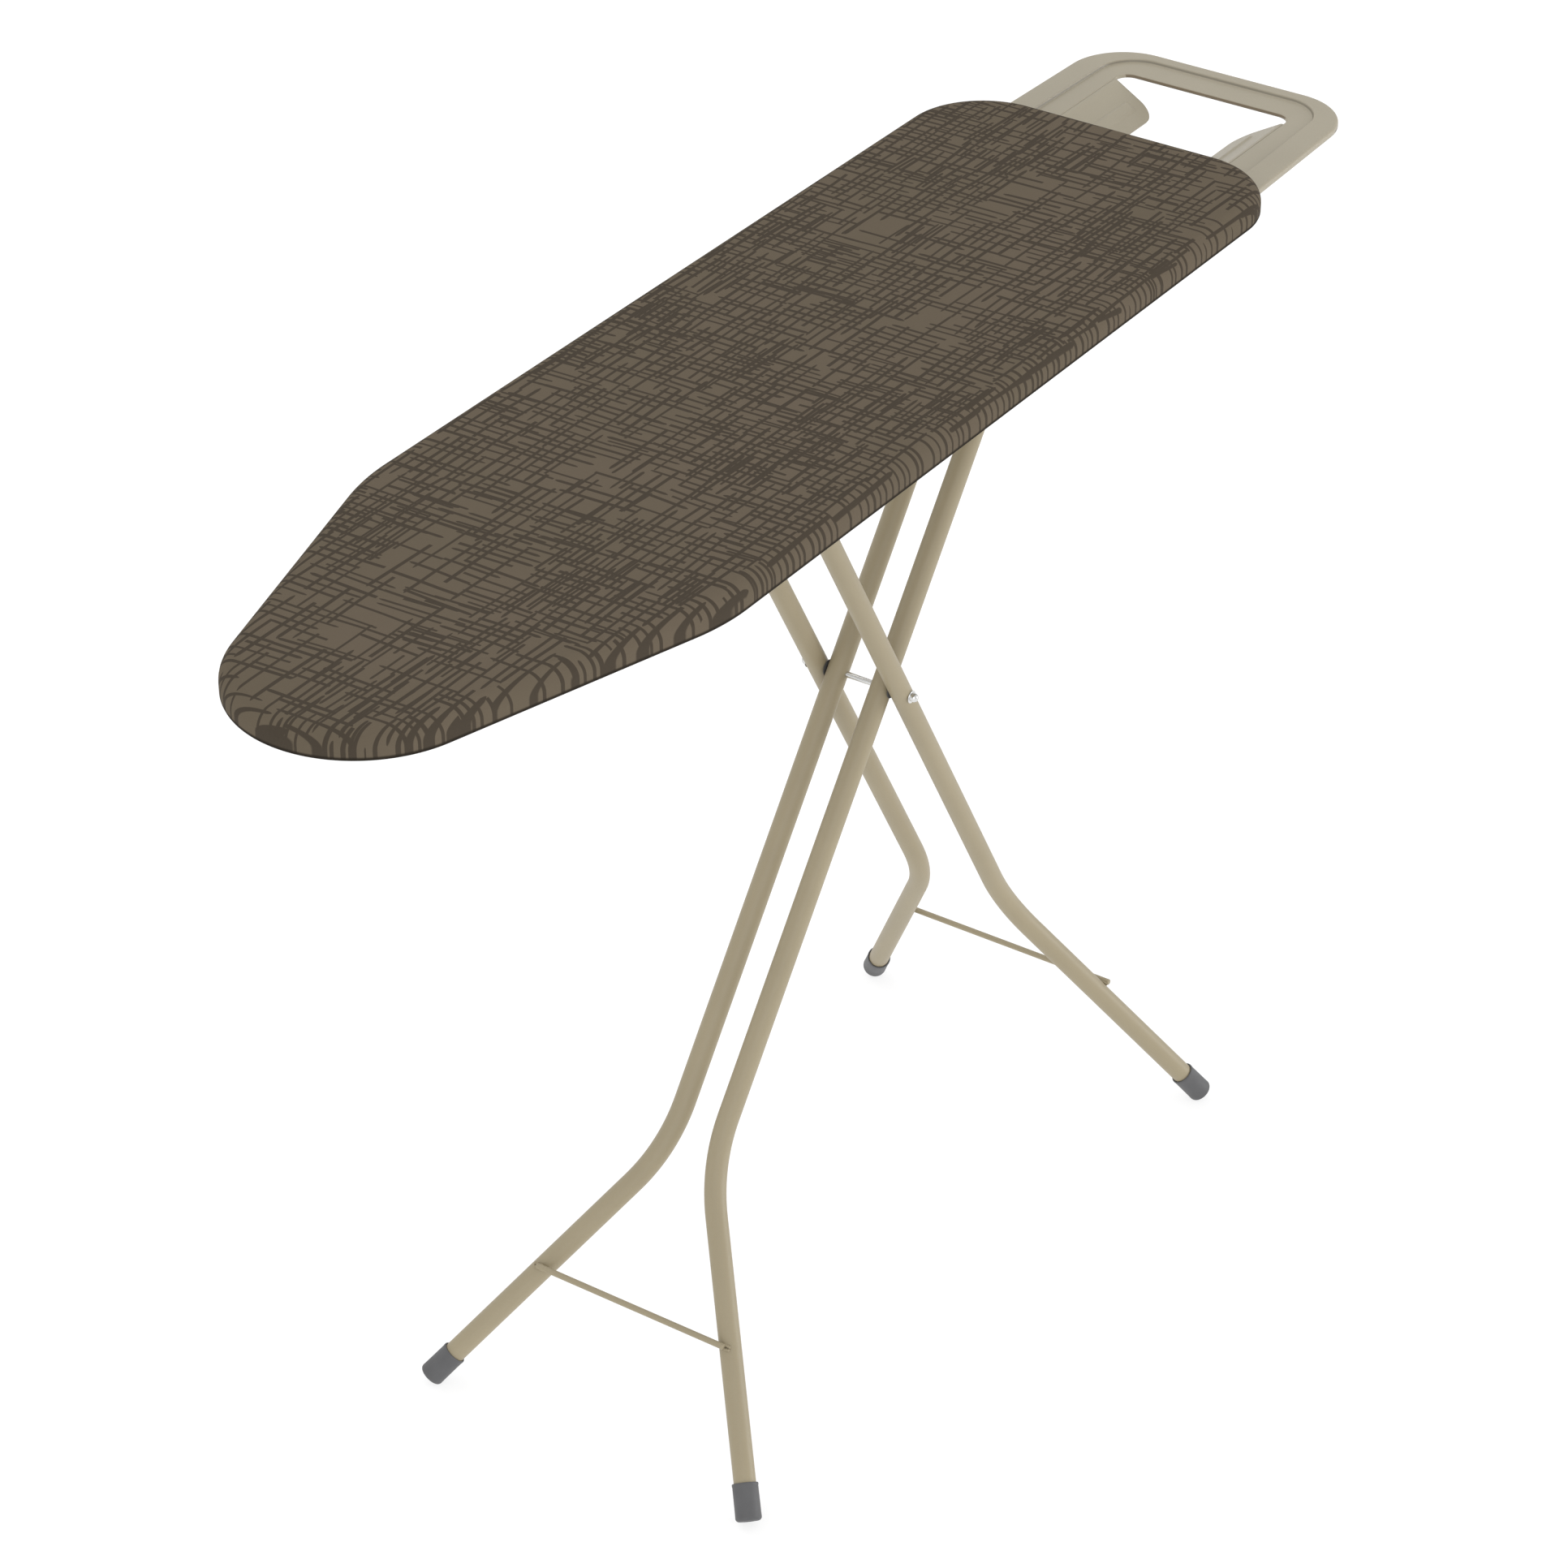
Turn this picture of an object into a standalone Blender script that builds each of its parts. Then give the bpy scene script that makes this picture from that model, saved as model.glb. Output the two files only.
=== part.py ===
"""Folding ironing board with a flat steel iron rest.

Frame: metres, +Z up, origin on the floor under the middle of the object's box.
+X runs from the nose to the iron rest, and +Y is the left side, seen in that direction.
The inner legs hang from a fixed hinge under the board, towards the iron rest. The outer legs turn on
the inner ones at the crossing, and their top bar slides along two slotted rails, towards the nose.
"""

from math import asin, atan, cos, pi, radians, sin, sqrt, tan

import bmesh
import bpy
from mathutils import Matrix, Vector

# Board outline
HALF_WIDTH = 0.160
REAR_X = 0.4599
REAR_CORNER_R = 0.072
NOSE_X = -0.6433
NOSE_R = 0.0976
TAPER = radians(16.4)
BEND_R = 0.180

# Levels of the board's layers
TOP_Z = 0.8635
COVER_BOTTOM_Z = 0.8419
COVER_EDGE_R = 0.0128
COVER_CLOTH = 0.0013
HEM_WIDTH = 0.035
PAD_TOP_Z = 0.8619
PAD_BOTTOM_Z = 0.8560
PANEL_TOP_Z = 0.8556
PANEL_SHEET = 0.0006
PANEL_INSET = 0.0035
PANEL_EDGE_R = 0.008
PANEL_BOTTOM_Z = 0.8438
STRIP_Z = (0.8445, 0.8460)
STRIP_INSET = (0.0055, 0.0200)
RIB_TOP_Z = 0.8545
RIB_BOTTOM_Z = 0.8463
RIB_SHEET = 0.0012
RIB_WIDTH = 0.030
RIB_FLANGE = 0.008
RIB_END_GAP = 0.026

# Leg frames: angle above the floor, tube spacing, side bend and foot
TUBE_R = 0.009
TUBE_WALL = 0.0012
PIVOT = Vector((0.0702, 0.0, 0.5307))
INNER_ANGLE = radians(53.09)
INNER_HALF_GAP = 0.0210
INNER_BEND_S = 0.4077
INNER_FLARE = atan(0.553)
INNER_BEND_R = 0.160
OUTER_ANGLE = radians(60.36)
OUTER_HALF_GAP = 0.0400
OUTER_BEND_S = 0.3405
OUTER_FLARE = atan(0.5055)
OUTER_BEND_R = 0.170
TUBE_SIDES = 16

# Bars, pins and what they turn in
BAR_R = 0.004
BAR_OFFSET = TUBE_R + BAR_R + 0.0003
AXIS_Z = 0.8270
HINGE_BAR_HALF = 0.100
SLIDE_BAR_HALF = 0.092
TUBE_PAST_BAR = 0.009
FOLD_ANGLE = radians(52.5)
ROD_R = 0.0025
ROD_OFFSET = TUBE_R + ROD_R + 0.0003
INNER_ROD_S = 0.5355
INNER_ROD_HALF = 0.092
OUTER_ROD_S = 0.4633
OUTER_ROD_HALF = 0.108
PIN_R = 0.0025
PIN_HALF = 0.0515
FIT = 0.0003
RUNNING = 0.0001

# Foot caps
FOOT_R = 0.0106
FOOT_LENGTH = 0.030
FOOT_CORNER_R = 0.003
FOOT_WALL = FOOT_R - TUBE_R - FIT
FOOT_FLOOR = 0.003

# Slotted rails, hinge brackets and release lever
RAIL_Y = 0.062
RAIL_SHEET = 0.002
RAIL_FLANGE = 0.014
RAIL_TOP_Z = 0.8460
RAIL_LOWER_MARGIN = 0.0105
RAIL_FRONT_MARGIN = 0.034
RAIL_REAR_X = -0.030
SLOT_HALF = 0.0054
BUSH_R = 0.005
NOTCH_R = 0.0046
NOTCH_RISE = 0.0030
NOTCH_BACK = (0.030, 0.085, 0.140, 0.195, 0.250)
BRACKET_Y = 0.090
BRACKET_SHEET = 0.003
BRACKET_HALF = 0.012
BRACKET_FLANGE = 0.020
RAIL_SCREW_OFF = 0.0085
BRACKET_SCREW_OFF = 0.012
SCREW_PAST = 0.0020
BORE_PAST = 0.001
LEVER_AXIS = Vector((-0.045, 0.0, 0.838))
LEVER_Y = (0.084, 0.087)
LEVER_EARS = ((0.0800, 0.0816), (0.0934, 0.0950))
LEVER_BRACKET_SHEET = 0.0016
LEVER_BRACKET_HALF = 0.013
LEVER_EAR_HALF = 0.007
LEVER_EAR_DROP = 0.006
LEVER_PIN_R = 0.0025
GRIP_X = (-0.002, 0.036)
GRIP_Y = (0.116, 0.150)
GRIP_Z = (0.8230, 0.8320)
ARM_Z = (0.8265, 0.8289)
ARM_BEGINS = (0.020, 0.022)
GRIP_WALL = 0.006
GRIP_EDGE_R = 0.003
LEVER_BOSS_R = 0.0052
FINGER_BACK = 0.006
FINGER_LENGTH = 0.012
FINGER_Z = (0.8370, 0.8415)

# Iron rest
REST_REAR_X = 0.6433
REST_FRONT_X = 0.3950
REST_HALF_WIDTH = 0.1250
REST_TAPER = radians(1.6)
REST_CORNER_R = 0.054
REST_FRONT_R = 0.026
REST_TOP_Z = 0.8410
REST_LIP = 0.0055
REST_EDGE_R = 0.0015
REST_SHEET = 0.0012
REST_STEP = 0.0026
SIDE_BAND = 0.0235
REAR_BAND = 0.0105
SIDE_STEP = 0.0020
REAR_STEP = 0.0065
STEP_CORNER_R = 0.036
WINDOW_X = (0.450, 0.6018)
WINDOW_HALF = 0.0815
WINDOW_R = 0.0125
FLAP_HALF = 0.0395
FLAP_SLOPE = radians(30.3)
FLAP_X = (0.458, 0.5872)
FLAP_CORNER_R = 0.016
SPACER_X = (0.398, 0.412)
SPACER_Y = (0.060, 0.104)
SCREW_R = 0.002
REST_SCREW_Y = (0.070, 0.094)

COLOURS = {
    "fabric": ((0.150, 0.115, 0.078), 0.90, 0.0),
    "foam": ((0.780, 0.760, 0.700), 0.95, 0.0),
    "powder_coat": ((0.400, 0.345, 0.240), 0.50, 0.0),
    "rest_coat": ((0.405, 0.365, 0.275), 0.50, 0.0),
    "steel": ((0.620, 0.620, 0.620), 0.30, 1.0),
    "plastic": ((0.130, 0.130, 0.132), 0.60, 0.0),
    "nylon": ((0.750, 0.740, 0.700), 0.50, 0.0),
}


def clear_scene():
    for item in list(bpy.data.objects):
        bpy.data.objects.remove(item, do_unlink=True)


def new_collection(name):
    collection = bpy.data.collections.new(name)
    bpy.context.scene.collection.children.link(collection)
    return collection


def new_material(name):
    colour, roughness, metallic = COLOURS[name]
    material = bpy.data.materials.new(name)
    material.use_nodes = True
    shader = material.node_tree.nodes["Principled BSDF"]
    shader.inputs["Base Color"].default_value = (*colour, 1.0)
    shader.inputs["Roughness"].default_value = roughness
    shader.inputs["Metallic"].default_value = metallic
    return material


clear_scene()
PARTS = new_collection("ironing_board")
CUTTERS = new_collection("cutters")
MATERIALS = {name: new_material(name) for name in COLOURS}


# Shared ways of making a piece


def add_part(name, mesh, material, matrix=None):
    """A named object in the parts collection, with one material."""
    item = bpy.data.objects.new(name, mesh)
    if matrix is not None:
        item.matrix_world = matrix
    mesh.materials.clear()
    mesh.materials.append(MATERIALS[material])
    mesh.shade_smooth()
    mesh.set_sharp_from_angle(angle=radians(35))
    PARTS.objects.link(item)
    return item


def mesh_of(bm, name):
    mesh = bpy.data.meshes.new(name)
    bm.to_mesh(mesh)
    bm.free()
    return mesh


def cutter_from(name, mesh, matrix=None):
    item = bpy.data.objects.new(name, mesh)
    if matrix is not None:
        item.matrix_world = matrix
    item.hide_render = True
    item.display_type = "WIRE"
    CUTTERS.objects.link(item)
    return item


def combine(item, other, operation):
    modifier = item.modifiers.new(operation.lower(), "BOOLEAN")
    modifier.operation = operation
    modifier.object = other
    modifier.solver = "EXACT"


def box_mesh(name, low, high):
    low = Vector(low)
    high = Vector(high)
    bm = bmesh.new()
    bmesh.ops.create_cube(bm, size=1.0)
    bmesh.ops.scale(bm, vec=high - low, verts=bm.verts)
    bmesh.ops.translate(bm, vec=(low + high) / 2, verts=bm.verts)
    return mesh_of(bm, name)


def frame_along(direction):
    """A rotation that takes local Z to direction, with local X as near to straight down as it can be."""
    z_axis = Vector(direction).normalized()
    down = Vector((0, 0, -1)) if abs(z_axis.z) < 0.999 else Vector((1, 0, 0))
    x_axis = (down - z_axis * down.dot(z_axis)).normalized()
    y_axis = z_axis.cross(x_axis)
    return Matrix((x_axis, y_axis, z_axis)).transposed().to_4x4()


def cylinder_mesh(name, start, end, radius, sides=16):
    start = Vector(start)
    end = Vector(end)
    bm = bmesh.new()
    bmesh.ops.create_cone(
        bm, cap_ends=True, segments=sides, radius1=radius, radius2=radius, depth=(end - start).length
    )
    turn = frame_along(end - start)
    bmesh.ops.transform(bm, matrix=Matrix.Translation((start + end) / 2) @ turn, verts=bm.verts)
    return mesh_of(bm, name)


def bore(item, start, end, radius, sides=16):
    name = f"{item.name}_bore_{len(item.modifiers)}"
    combine(item, cutter_from(name, cylinder_mesh(name, start, end, radius, sides)), "DIFFERENCE")


def turned(name, profile, material, place, direction, steps=16):
    """A profile of (radius, height) points turned about local Z, placed along a direction."""
    mesh = bpy.data.meshes.new(name)
    closed = profile[0][0] > 0
    edges = [(i, i + 1) for i in range(len(profile) - 1)]
    if closed:
        edges.append((len(profile) - 1, 0))
    mesh.from_pydata([(r, 0, z) for r, z in profile], edges, [])
    item = add_part(name, mesh, material, Matrix.Translation(place) @ frame_along(direction))
    screw = item.modifiers.new("turn", "SCREW")
    screw.steps = steps
    screw.render_steps = steps
    screw.use_merge_vertices = True
    screw.merge_threshold = 0.00001
    return item


def arc(centre, radius, start, end, steps):
    """Points (x, y) on an arc, both ends included."""
    angles = [start + (end - start) * i / steps for i in range(steps + 1)]
    return [(centre[0] + radius * cos(a), centre[1] + radius * sin(a)) for a in angles]


def plate(name, outlines, thickness, material, matrix):
    """A flat plate from closed (x, y) outlines. The inner ones are holes."""
    curve = bpy.data.curves.new(name, "CURVE")
    curve.dimensions = "2D"
    curve.fill_mode = "BOTH"
    curve.extrude = thickness / 2
    for outline in outlines:
        spline = curve.splines.new("POLY")
        spline.points.add(len(outline) - 1)
        for point, (x, y) in zip(spline.points, outline):
            point.co = (x, y, 0, 1)
        spline.use_cyclic_u = True
    source = bpy.data.objects.new(name + "_curve", curve)
    source.matrix_world = matrix
    PARTS.objects.link(source)
    return from_curve(name, source, material)


def from_curve(name, source, material):
    """The mesh of a curve object, with its caps welded, in place of the curve."""
    bpy.context.view_layer.update()
    mesh = bpy.data.meshes.new_from_object(source.evaluated_get(bpy.context.evaluated_depsgraph_get()))
    mesh.name = name
    bm = bmesh.new()
    bm.from_mesh(mesh)
    bmesh.ops.remove_doubles(bm, verts=bm.verts, dist=0.000001)
    bm.to_mesh(mesh)
    bm.free()
    matrix = source.matrix_world.copy()
    bpy.data.objects.remove(source)
    return add_part(name, mesh, material, matrix)


def swept(name, points, radius, material, sides=12, caps=True):
    """A round wire or tube along points."""
    curve = bpy.data.curves.new(name, "CURVE")
    curve.dimensions = "3D"
    curve.bevel_depth = radius
    curve.bevel_resolution = sides // 2 - 2
    curve.use_fill_caps = caps
    spline = curve.splines.new("POLY")
    spline.points.add(len(points) - 1)
    for point, place in zip(spline.points, points):
        point.co = (*place, 1)
    source = bpy.data.objects.new(name + "_curve", curve)
    PARTS.objects.link(source)
    return from_curve(name, source, material)


def lofted(name, rings, material, cap_first=False, cap_last=False):
    """A skin through rings of points that match one to one."""
    bm = bmesh.new()
    rows = [[bm.verts.new(point) for point in ring] for ring in rings]
    count = len(rows[0])
    for lower, upper in zip(rows, rows[1:]):
        for i in range(count):
            j = (i + 1) % count
            bm.faces.new((lower[i], lower[j], upper[j], upper[i]))
    if cap_first:
        bm.faces.new(rows[0])
    if cap_last:
        bm.faces.new(rows[-1])
    bmesh.ops.recalc_face_normals(bm, faces=bm.faces)
    return add_part(name, mesh_of(bm, name), material)


def thicken(item, thickness):
    """Give an open skin its wall, inwards from its faces."""
    solid = item.modifiers.new("wall", "SOLIDIFY")
    solid.thickness = thickness
    solid.offset = -1.0
    solid.use_even_offset = True


# Board: outline, cover, pad, pressed panel and what stiffens it


def board_outline(inset):
    """The board's outline, counter-clockwise, moved inwards by inset."""
    nose = (NOSE_X + NOSE_R, 0.0)
    bend_y = HALF_WIDTH - BEND_R
    bend_x = nose[0] + (cos(TAPER) * bend_y + BEND_R - NOSE_R) / sin(TAPER)
    corner = (REAR_X - REAR_CORNER_R, HALF_WIDTH - REAR_CORNER_R)
    left = arc(corner, REAR_CORNER_R - inset, 0, pi / 2, 7)
    left += arc((bend_x, bend_y), BEND_R - inset, pi / 2, pi / 2 + TAPER, 3)
    left += arc(nose, NOSE_R - inset, pi / 2 + TAPER, pi, 8)
    right = [(x, -y) for x, y in reversed(left[:-1])]
    return left + right


def board_ring(inset, z):
    return [(x, y, z) for x, y in board_outline(inset)]


def half_width_at(x):
    """Half of the board's width at a station along its length."""
    taper_y = (NOSE_R + (x - NOSE_X - NOSE_R) * sin(TAPER)) / cos(TAPER)
    return min(HALF_WIDTH, taper_y)


def make_cover():
    rings = [board_ring(HEM_WIDTH, COVER_BOTTOM_Z)]
    rings.append(board_ring(0.0015, COVER_BOTTOM_Z))
    rings.append(board_ring(0.0, COVER_BOTTOM_Z + 0.0015))
    for i in range(5):
        angle = pi / 2 * i / 4
        inset = COVER_EDGE_R * (1 - cos(angle))
        rings.append(board_ring(inset, TOP_Z - COVER_EDGE_R * (1 - sin(angle))))
    cover = lofted("cover", rings, "fabric", cap_last=True)
    thicken(cover, COVER_CLOTH)


def make_foam_pad():
    insets = (0.0047, 0.0070, 0.0096, 0.0130)
    rises = (0.0, 0.60, 0.88, 1.0)
    rings = []
    for inset, rise in zip(insets, rises):
        rings.append(board_ring(inset, PAD_BOTTOM_Z + rise * (PAD_TOP_Z - PAD_BOTTOM_Z)))
    lofted("foam_pad", rings, "foam", cap_first=True, cap_last=True)


def make_top_panel():
    rings = [board_ring(PANEL_INSET, PANEL_BOTTOM_Z)]
    for i in range(3):
        angle = pi / 2 * i / 2
        inset = PANEL_INSET + PANEL_EDGE_R * (1 - cos(angle))
        rings.append(board_ring(inset, PANEL_TOP_Z - PANEL_EDGE_R * (1 - sin(angle))))
    panel = lofted("top_panel", rings, "powder_coat", cap_last=True)
    thicken(panel, PANEL_SHEET)


def make_rim_strip():
    thickness = STRIP_Z[1] - STRIP_Z[0]
    place = Matrix.Translation((0, 0, sum(STRIP_Z) / 2))
    plate("rim_strip", [board_outline(inset) for inset in STRIP_INSET], thickness, "powder_coat", place)


def make_rib(name, x):
    """A pressed hat section across the board, with its flanges against the panel."""
    half = RIB_WIDTH / 2
    inner = half - RIB_FLANGE
    depth = RIB_TOP_Z - RIB_BOTTOM_Z
    half_profile = [
        (half, 0),
        (half, -RIB_SHEET),
        (inner, -RIB_SHEET),
        (inner, -depth),
    ]
    under = half_profile + [(-u, v) for u, v in reversed(half_profile)]
    web = inner - RIB_SHEET
    over = [(-web, 0), (-web, RIB_SHEET - depth), (web, RIB_SHEET - depth), (web, 0)]
    length = 2 * (half_width_at(x) - RIB_END_GAP)
    place = Matrix.Translation((x, 0, RIB_TOP_Z)) @ Matrix.Rotation(pi / 2, 4, "X")
    return plate(name, [under + over], length, "powder_coat", place)


# The fold, worked out once so that the slot in the rails follows the sliding bar


def turn_y(vector, angle):
    """A vector turned about +Y."""
    return Matrix.Rotation(angle, 3, "Y") @ vector


INNER_UP = Vector((cos(INNER_ANGLE), 0, sin(INNER_ANGLE)))
OUTER_UP = Vector((-cos(OUTER_ANGLE), 0, sin(OUTER_ANGLE)))
INNER_FACE = Vector((-sin(INNER_ANGLE), 0, cos(INNER_ANGLE)))
OUTER_FACE = Vector((sin(OUTER_ANGLE), 0, cos(OUTER_ANGLE)))
INNER_TOP_S = (AXIS_Z - PIVOT.z - BAR_OFFSET * INNER_FACE.z) / INNER_UP.z
OUTER_TOP_S = (AXIS_Z - PIVOT.z - BAR_OFFSET * OUTER_FACE.z) / OUTER_UP.z
HINGE_POINT = PIVOT + INNER_UP * INNER_TOP_S + INNER_FACE * BAR_OFFSET
SLIDE_POINT = PIVOT + OUTER_UP * OUTER_TOP_S + OUTER_FACE * BAR_OFFSET


def pivot_when(fold):
    return HINGE_POINT + turn_y(PIVOT - HINGE_POINT, fold)


def outer_turn_at_end():
    """How far the outer legs have turned back when the inner ones are folded."""
    arm = SLIDE_POINT - PIVOT
    depth = AXIS_Z - pivot_when(FOLD_ANGLE).z
    return asin(arm.z / arm.length) - asin(depth / arm.length)


COUPLING = 1 + outer_turn_at_end() / FOLD_ANGLE


def slide_bar_when(fold):
    """The sliding bar's place, with the outer legs turning COUPLING times as far as the inner."""
    return pivot_when(fold) + turn_y(SLIDE_POINT - PIVOT, fold - COUPLING * fold)


# Rails, brackets, lever and iron rest, all under the board


def slot_outline():
    """The slot that the bar runs in, with the notches that hold it above."""
    steps = 16
    path = [slide_bar_when(FOLD_ANGLE * i / steps) for i in range(steps + 1)]
    lower = [(p.x, p.z - SLOT_HALF) for p in path]
    upper = [(p.x, p.z + SLOT_HALF) for p in reversed(path)]
    notches = []
    for back in NOTCH_BACK:
        x = path[0].x - back
        after = next(i for i, p in enumerate(path) if p.x <= x)
        share = (path[after - 1].x - x) / (path[after - 1].x - path[after].x)
        z = path[after - 1].z + share * (path[after].z - path[after - 1].z) + SLOT_HALF
        notch = [(x - NOTCH_R, z), (x - NOTCH_R, z + NOTCH_RISE)]
        notch += [(x + NOTCH_R * 0.55, z + NOTCH_RISE), (x + NOTCH_R, z)]
        notches.append(notch)
    outline = []
    pending = sorted(notches, key=lambda points: points[0][0])
    for point in upper:
        while pending and pending[0][0][0] < point[0]:
            outline += pending.pop(0)
        if not any(points[0][0] - 0.001 < point[0] < points[-1][0] + 0.001 for points in notches):
            outline.append(point)
    end = path[0]
    outline += arc((end.x, end.z), SLOT_HALF, pi / 2, -pi / 2, 8)[1:-1]
    start = path[-1]
    return lower[:-1] + [lower[-1]] + arc((start.x, start.z), SLOT_HALF, -pi / 2, -3 * pi / 2, 8)[1:-1] + outline


def make_guide_rail(name, side):
    front = slide_bar_when(FOLD_ANGLE).x - RAIL_FRONT_MARGIN
    rear = RAIL_REAR_X
    low = AXIS_Z - RAIL_LOWER_MARGIN
    corner = 0.006
    web = arc((rear - corner, low + corner), corner, -pi / 2, 0, 4)
    web += [(rear, RAIL_TOP_Z), (front, RAIL_TOP_Z)]
    web += arc((front + corner, low + corner), corner, pi, 3 * pi / 2, 4)
    middle = side * (RAIL_Y + RAIL_SHEET / 2)
    place = Matrix.Translation((0, middle, 0)) @ Matrix.Rotation(pi / 2, 4, "X")
    rail = plate(name, [web, slot_outline()], RAIL_SHEET, "powder_coat", place)
    edges = sorted((side * (RAIL_Y + RAIL_SHEET / 2), side * (RAIL_Y + RAIL_FLANGE)))
    flange = box_mesh(
        name + "_flange",
        (front, edges[0], RAIL_TOP_Z - RAIL_SHEET),
        (rear, edges[1], RAIL_TOP_Z),
    )
    combine(rail, cutter_from(name + "_flange", flange), "UNION")
    return rail


def make_hinge_bracket(name, side):
    """A folded plate with the hole that the hinge bar turns in."""
    x = HINGE_POINT.x
    lobe = arc((x, AXIS_Z), BRACKET_HALF * 0.75, pi, 2 * pi, 8)
    ear = lobe + [(x + BRACKET_HALF, RAIL_TOP_Z), (x - BRACKET_HALF, RAIL_TOP_Z)]
    middle = side * (BRACKET_Y + BRACKET_SHEET / 2)
    place = Matrix.Translation((0, middle, 0)) @ Matrix.Rotation(pi / 2, 4, "X")
    hole = arc((x, AXIS_Z), BAR_R + RUNNING, 0, 2 * pi, 24)[:-1]
    bracket = plate(name, [ear, hole], BRACKET_SHEET, "steel", place)
    edges = sorted((side * (BRACKET_Y + BRACKET_SHEET / 2), side * (BRACKET_Y + BRACKET_FLANGE)))
    flange = box_mesh(
        name + "_flange",
        (x - BRACKET_HALF, edges[0], RAIL_TOP_Z - RAIL_SHEET),
        (x + BRACKET_HALF, edges[1], RAIL_TOP_Z),
    )
    combine(bracket, cutter_from(name + "_flange", flange), "UNION")
    return bracket


def make_lever_bracket():
    """A folded bracket with two ears that hold the lever's pin."""
    x = LEVER_AXIS.x
    z = LEVER_AXIS.z
    top = RAIL_TOP_Z
    y_low = LEVER_EARS[0][0]
    y_high = LEVER_EARS[1][1]
    low = (x - LEVER_BRACKET_HALF, y_low, top - LEVER_BRACKET_SHEET)
    high = (x + LEVER_BRACKET_HALF, y_high, top)
    bracket = add_part("lever_bracket", box_mesh("lever_bracket", low, high), "steel")
    for number, (inner_y, outer_y) in enumerate(LEVER_EARS):
        name = f"lever_bracket_ear_{number}"
        low = (x - LEVER_EAR_HALF, inner_y, z - LEVER_EAR_DROP)
        high = (x + LEVER_EAR_HALF, outer_y, top - LEVER_BRACKET_SHEET / 4)
        combine(bracket, cutter_from(name, box_mesh(name, low, high)), "UNION")
    bore(bracket, (x, y_low - BORE_PAST, z), (x, y_high + BORE_PAST, z), LEVER_PIN_R + FIT)


def make_lever_pin():
    x = LEVER_AXIS.x
    z = LEVER_AXIS.z
    ends = (LEVER_EARS[0][0] - 0.0015, LEVER_EARS[1][1] + 0.0015)
    mesh = cylinder_mesh("lever_pin", (x, ends[0], z), (x, ends[1], z), LEVER_PIN_R)
    add_part("lever_pin", mesh, "steel")


def make_lever_spring():
    """A torsion spring on the pin, beside the lever."""
    turns = 2
    wire = 0.0005
    coil_r = LEVER_PIN_R + 0.0017
    start_y = LEVER_Y[1] + 0.0010
    pitch = 0.0014
    points = [(LEVER_AXIS.x + 0.010, start_y, LEVER_AXIS.z + coil_r)]
    steps = 10
    for i in range(turns * steps + 1):
        angle = pi / 2 + 2 * pi * i / steps
        y = start_y + pitch * i / steps
        points.append((LEVER_AXIS.x + coil_r * cos(angle), y, LEVER_AXIS.z + coil_r * sin(angle)))
    points.append((LEVER_AXIS.x - 0.010, points[-1][1], LEVER_AXIS.z + coil_r))
    swept("lever_spring", points, wire, "steel", sides=6)


def make_release_lever():
    """A flat lever: a finger over the sliding bar's end, and an arm out to the grip."""
    x = LEVER_AXIS.x
    z = LEVER_AXIS.z
    finger_x = SLIDE_POINT.x - FINGER_BACK
    thickness = LEVER_Y[1] - LEVER_Y[0]
    arm_x = GRIP_X[1] - GRIP_WALL
    side = [(finger_x, FINGER_Z[0]), (finger_x + FINGER_LENGTH, FINGER_Z[0])]
    side += arc((x, z), LEVER_BOSS_R, pi * 0.85, pi * 1.35, 5)
    side += [(x + ARM_BEGINS[0], ARM_Z[0]), (arm_x, ARM_Z[0]), (arm_x, ARM_Z[1])]
    side += [(x + ARM_BEGINS[1], ARM_Z[1])]
    side += arc((x, z), LEVER_BOSS_R, pi * 0.15, pi * 0.60, 5)
    side += [(finger_x, FINGER_Z[1])]
    place = Matrix.Translation((0, sum(LEVER_Y) / 2, 0)) @ Matrix.Rotation(pi / 2, 4, "X")
    lever = plate("release_lever", [side], thickness, "steel", place)
    arm = box_mesh(
        "release_lever_arm",
        (GRIP_X[0] + GRIP_WALL, LEVER_Y[0] + 0.001, ARM_Z[0]),
        (arm_x, GRIP_Y[1] - GRIP_WALL, ARM_Z[1]),
    )
    combine(lever, cutter_from("release_lever_arm", arm), "UNION")
    bore(lever, (x, LEVER_Y[0] - 0.002, z), (x, LEVER_Y[1] + 0.002, z), LEVER_PIN_R + RUNNING)


def make_lever_grip():
    """A plastic sleeve pushed over the lever's arm."""
    bm = bmesh.new()
    bmesh.ops.create_cube(bm, size=1.0)
    size = (GRIP_X[1] - GRIP_X[0], GRIP_Y[1] - GRIP_Y[0], GRIP_Z[1] - GRIP_Z[0])
    bmesh.ops.scale(bm, vec=size, verts=bm.verts)
    middle = (sum(GRIP_X) / 2, sum(GRIP_Y) / 2, sum(GRIP_Z) / 2)
    bmesh.ops.translate(bm, vec=middle, verts=bm.verts)
    bmesh.ops.bevel(
        bm, geom=bm.edges, offset=GRIP_EDGE_R, affect="EDGES", segments=2, profile=0.5, material=-1
    )
    grip = add_part("lever_grip", mesh_of(bm, "lever_grip"), "plastic")
    pocket = box_mesh(
        "lever_grip_pocket",
        (GRIP_X[0] + GRIP_WALL - FIT, GRIP_Y[0] - BORE_PAST, ARM_Z[0] - FIT),
        (GRIP_X[1] - GRIP_WALL + FIT, GRIP_Y[1] - GRIP_WALL + FIT, ARM_Z[1] + FIT),
    )
    combine(grip, cutter_from("lever_grip_pocket", pocket), "DIFFERENCE")


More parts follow.
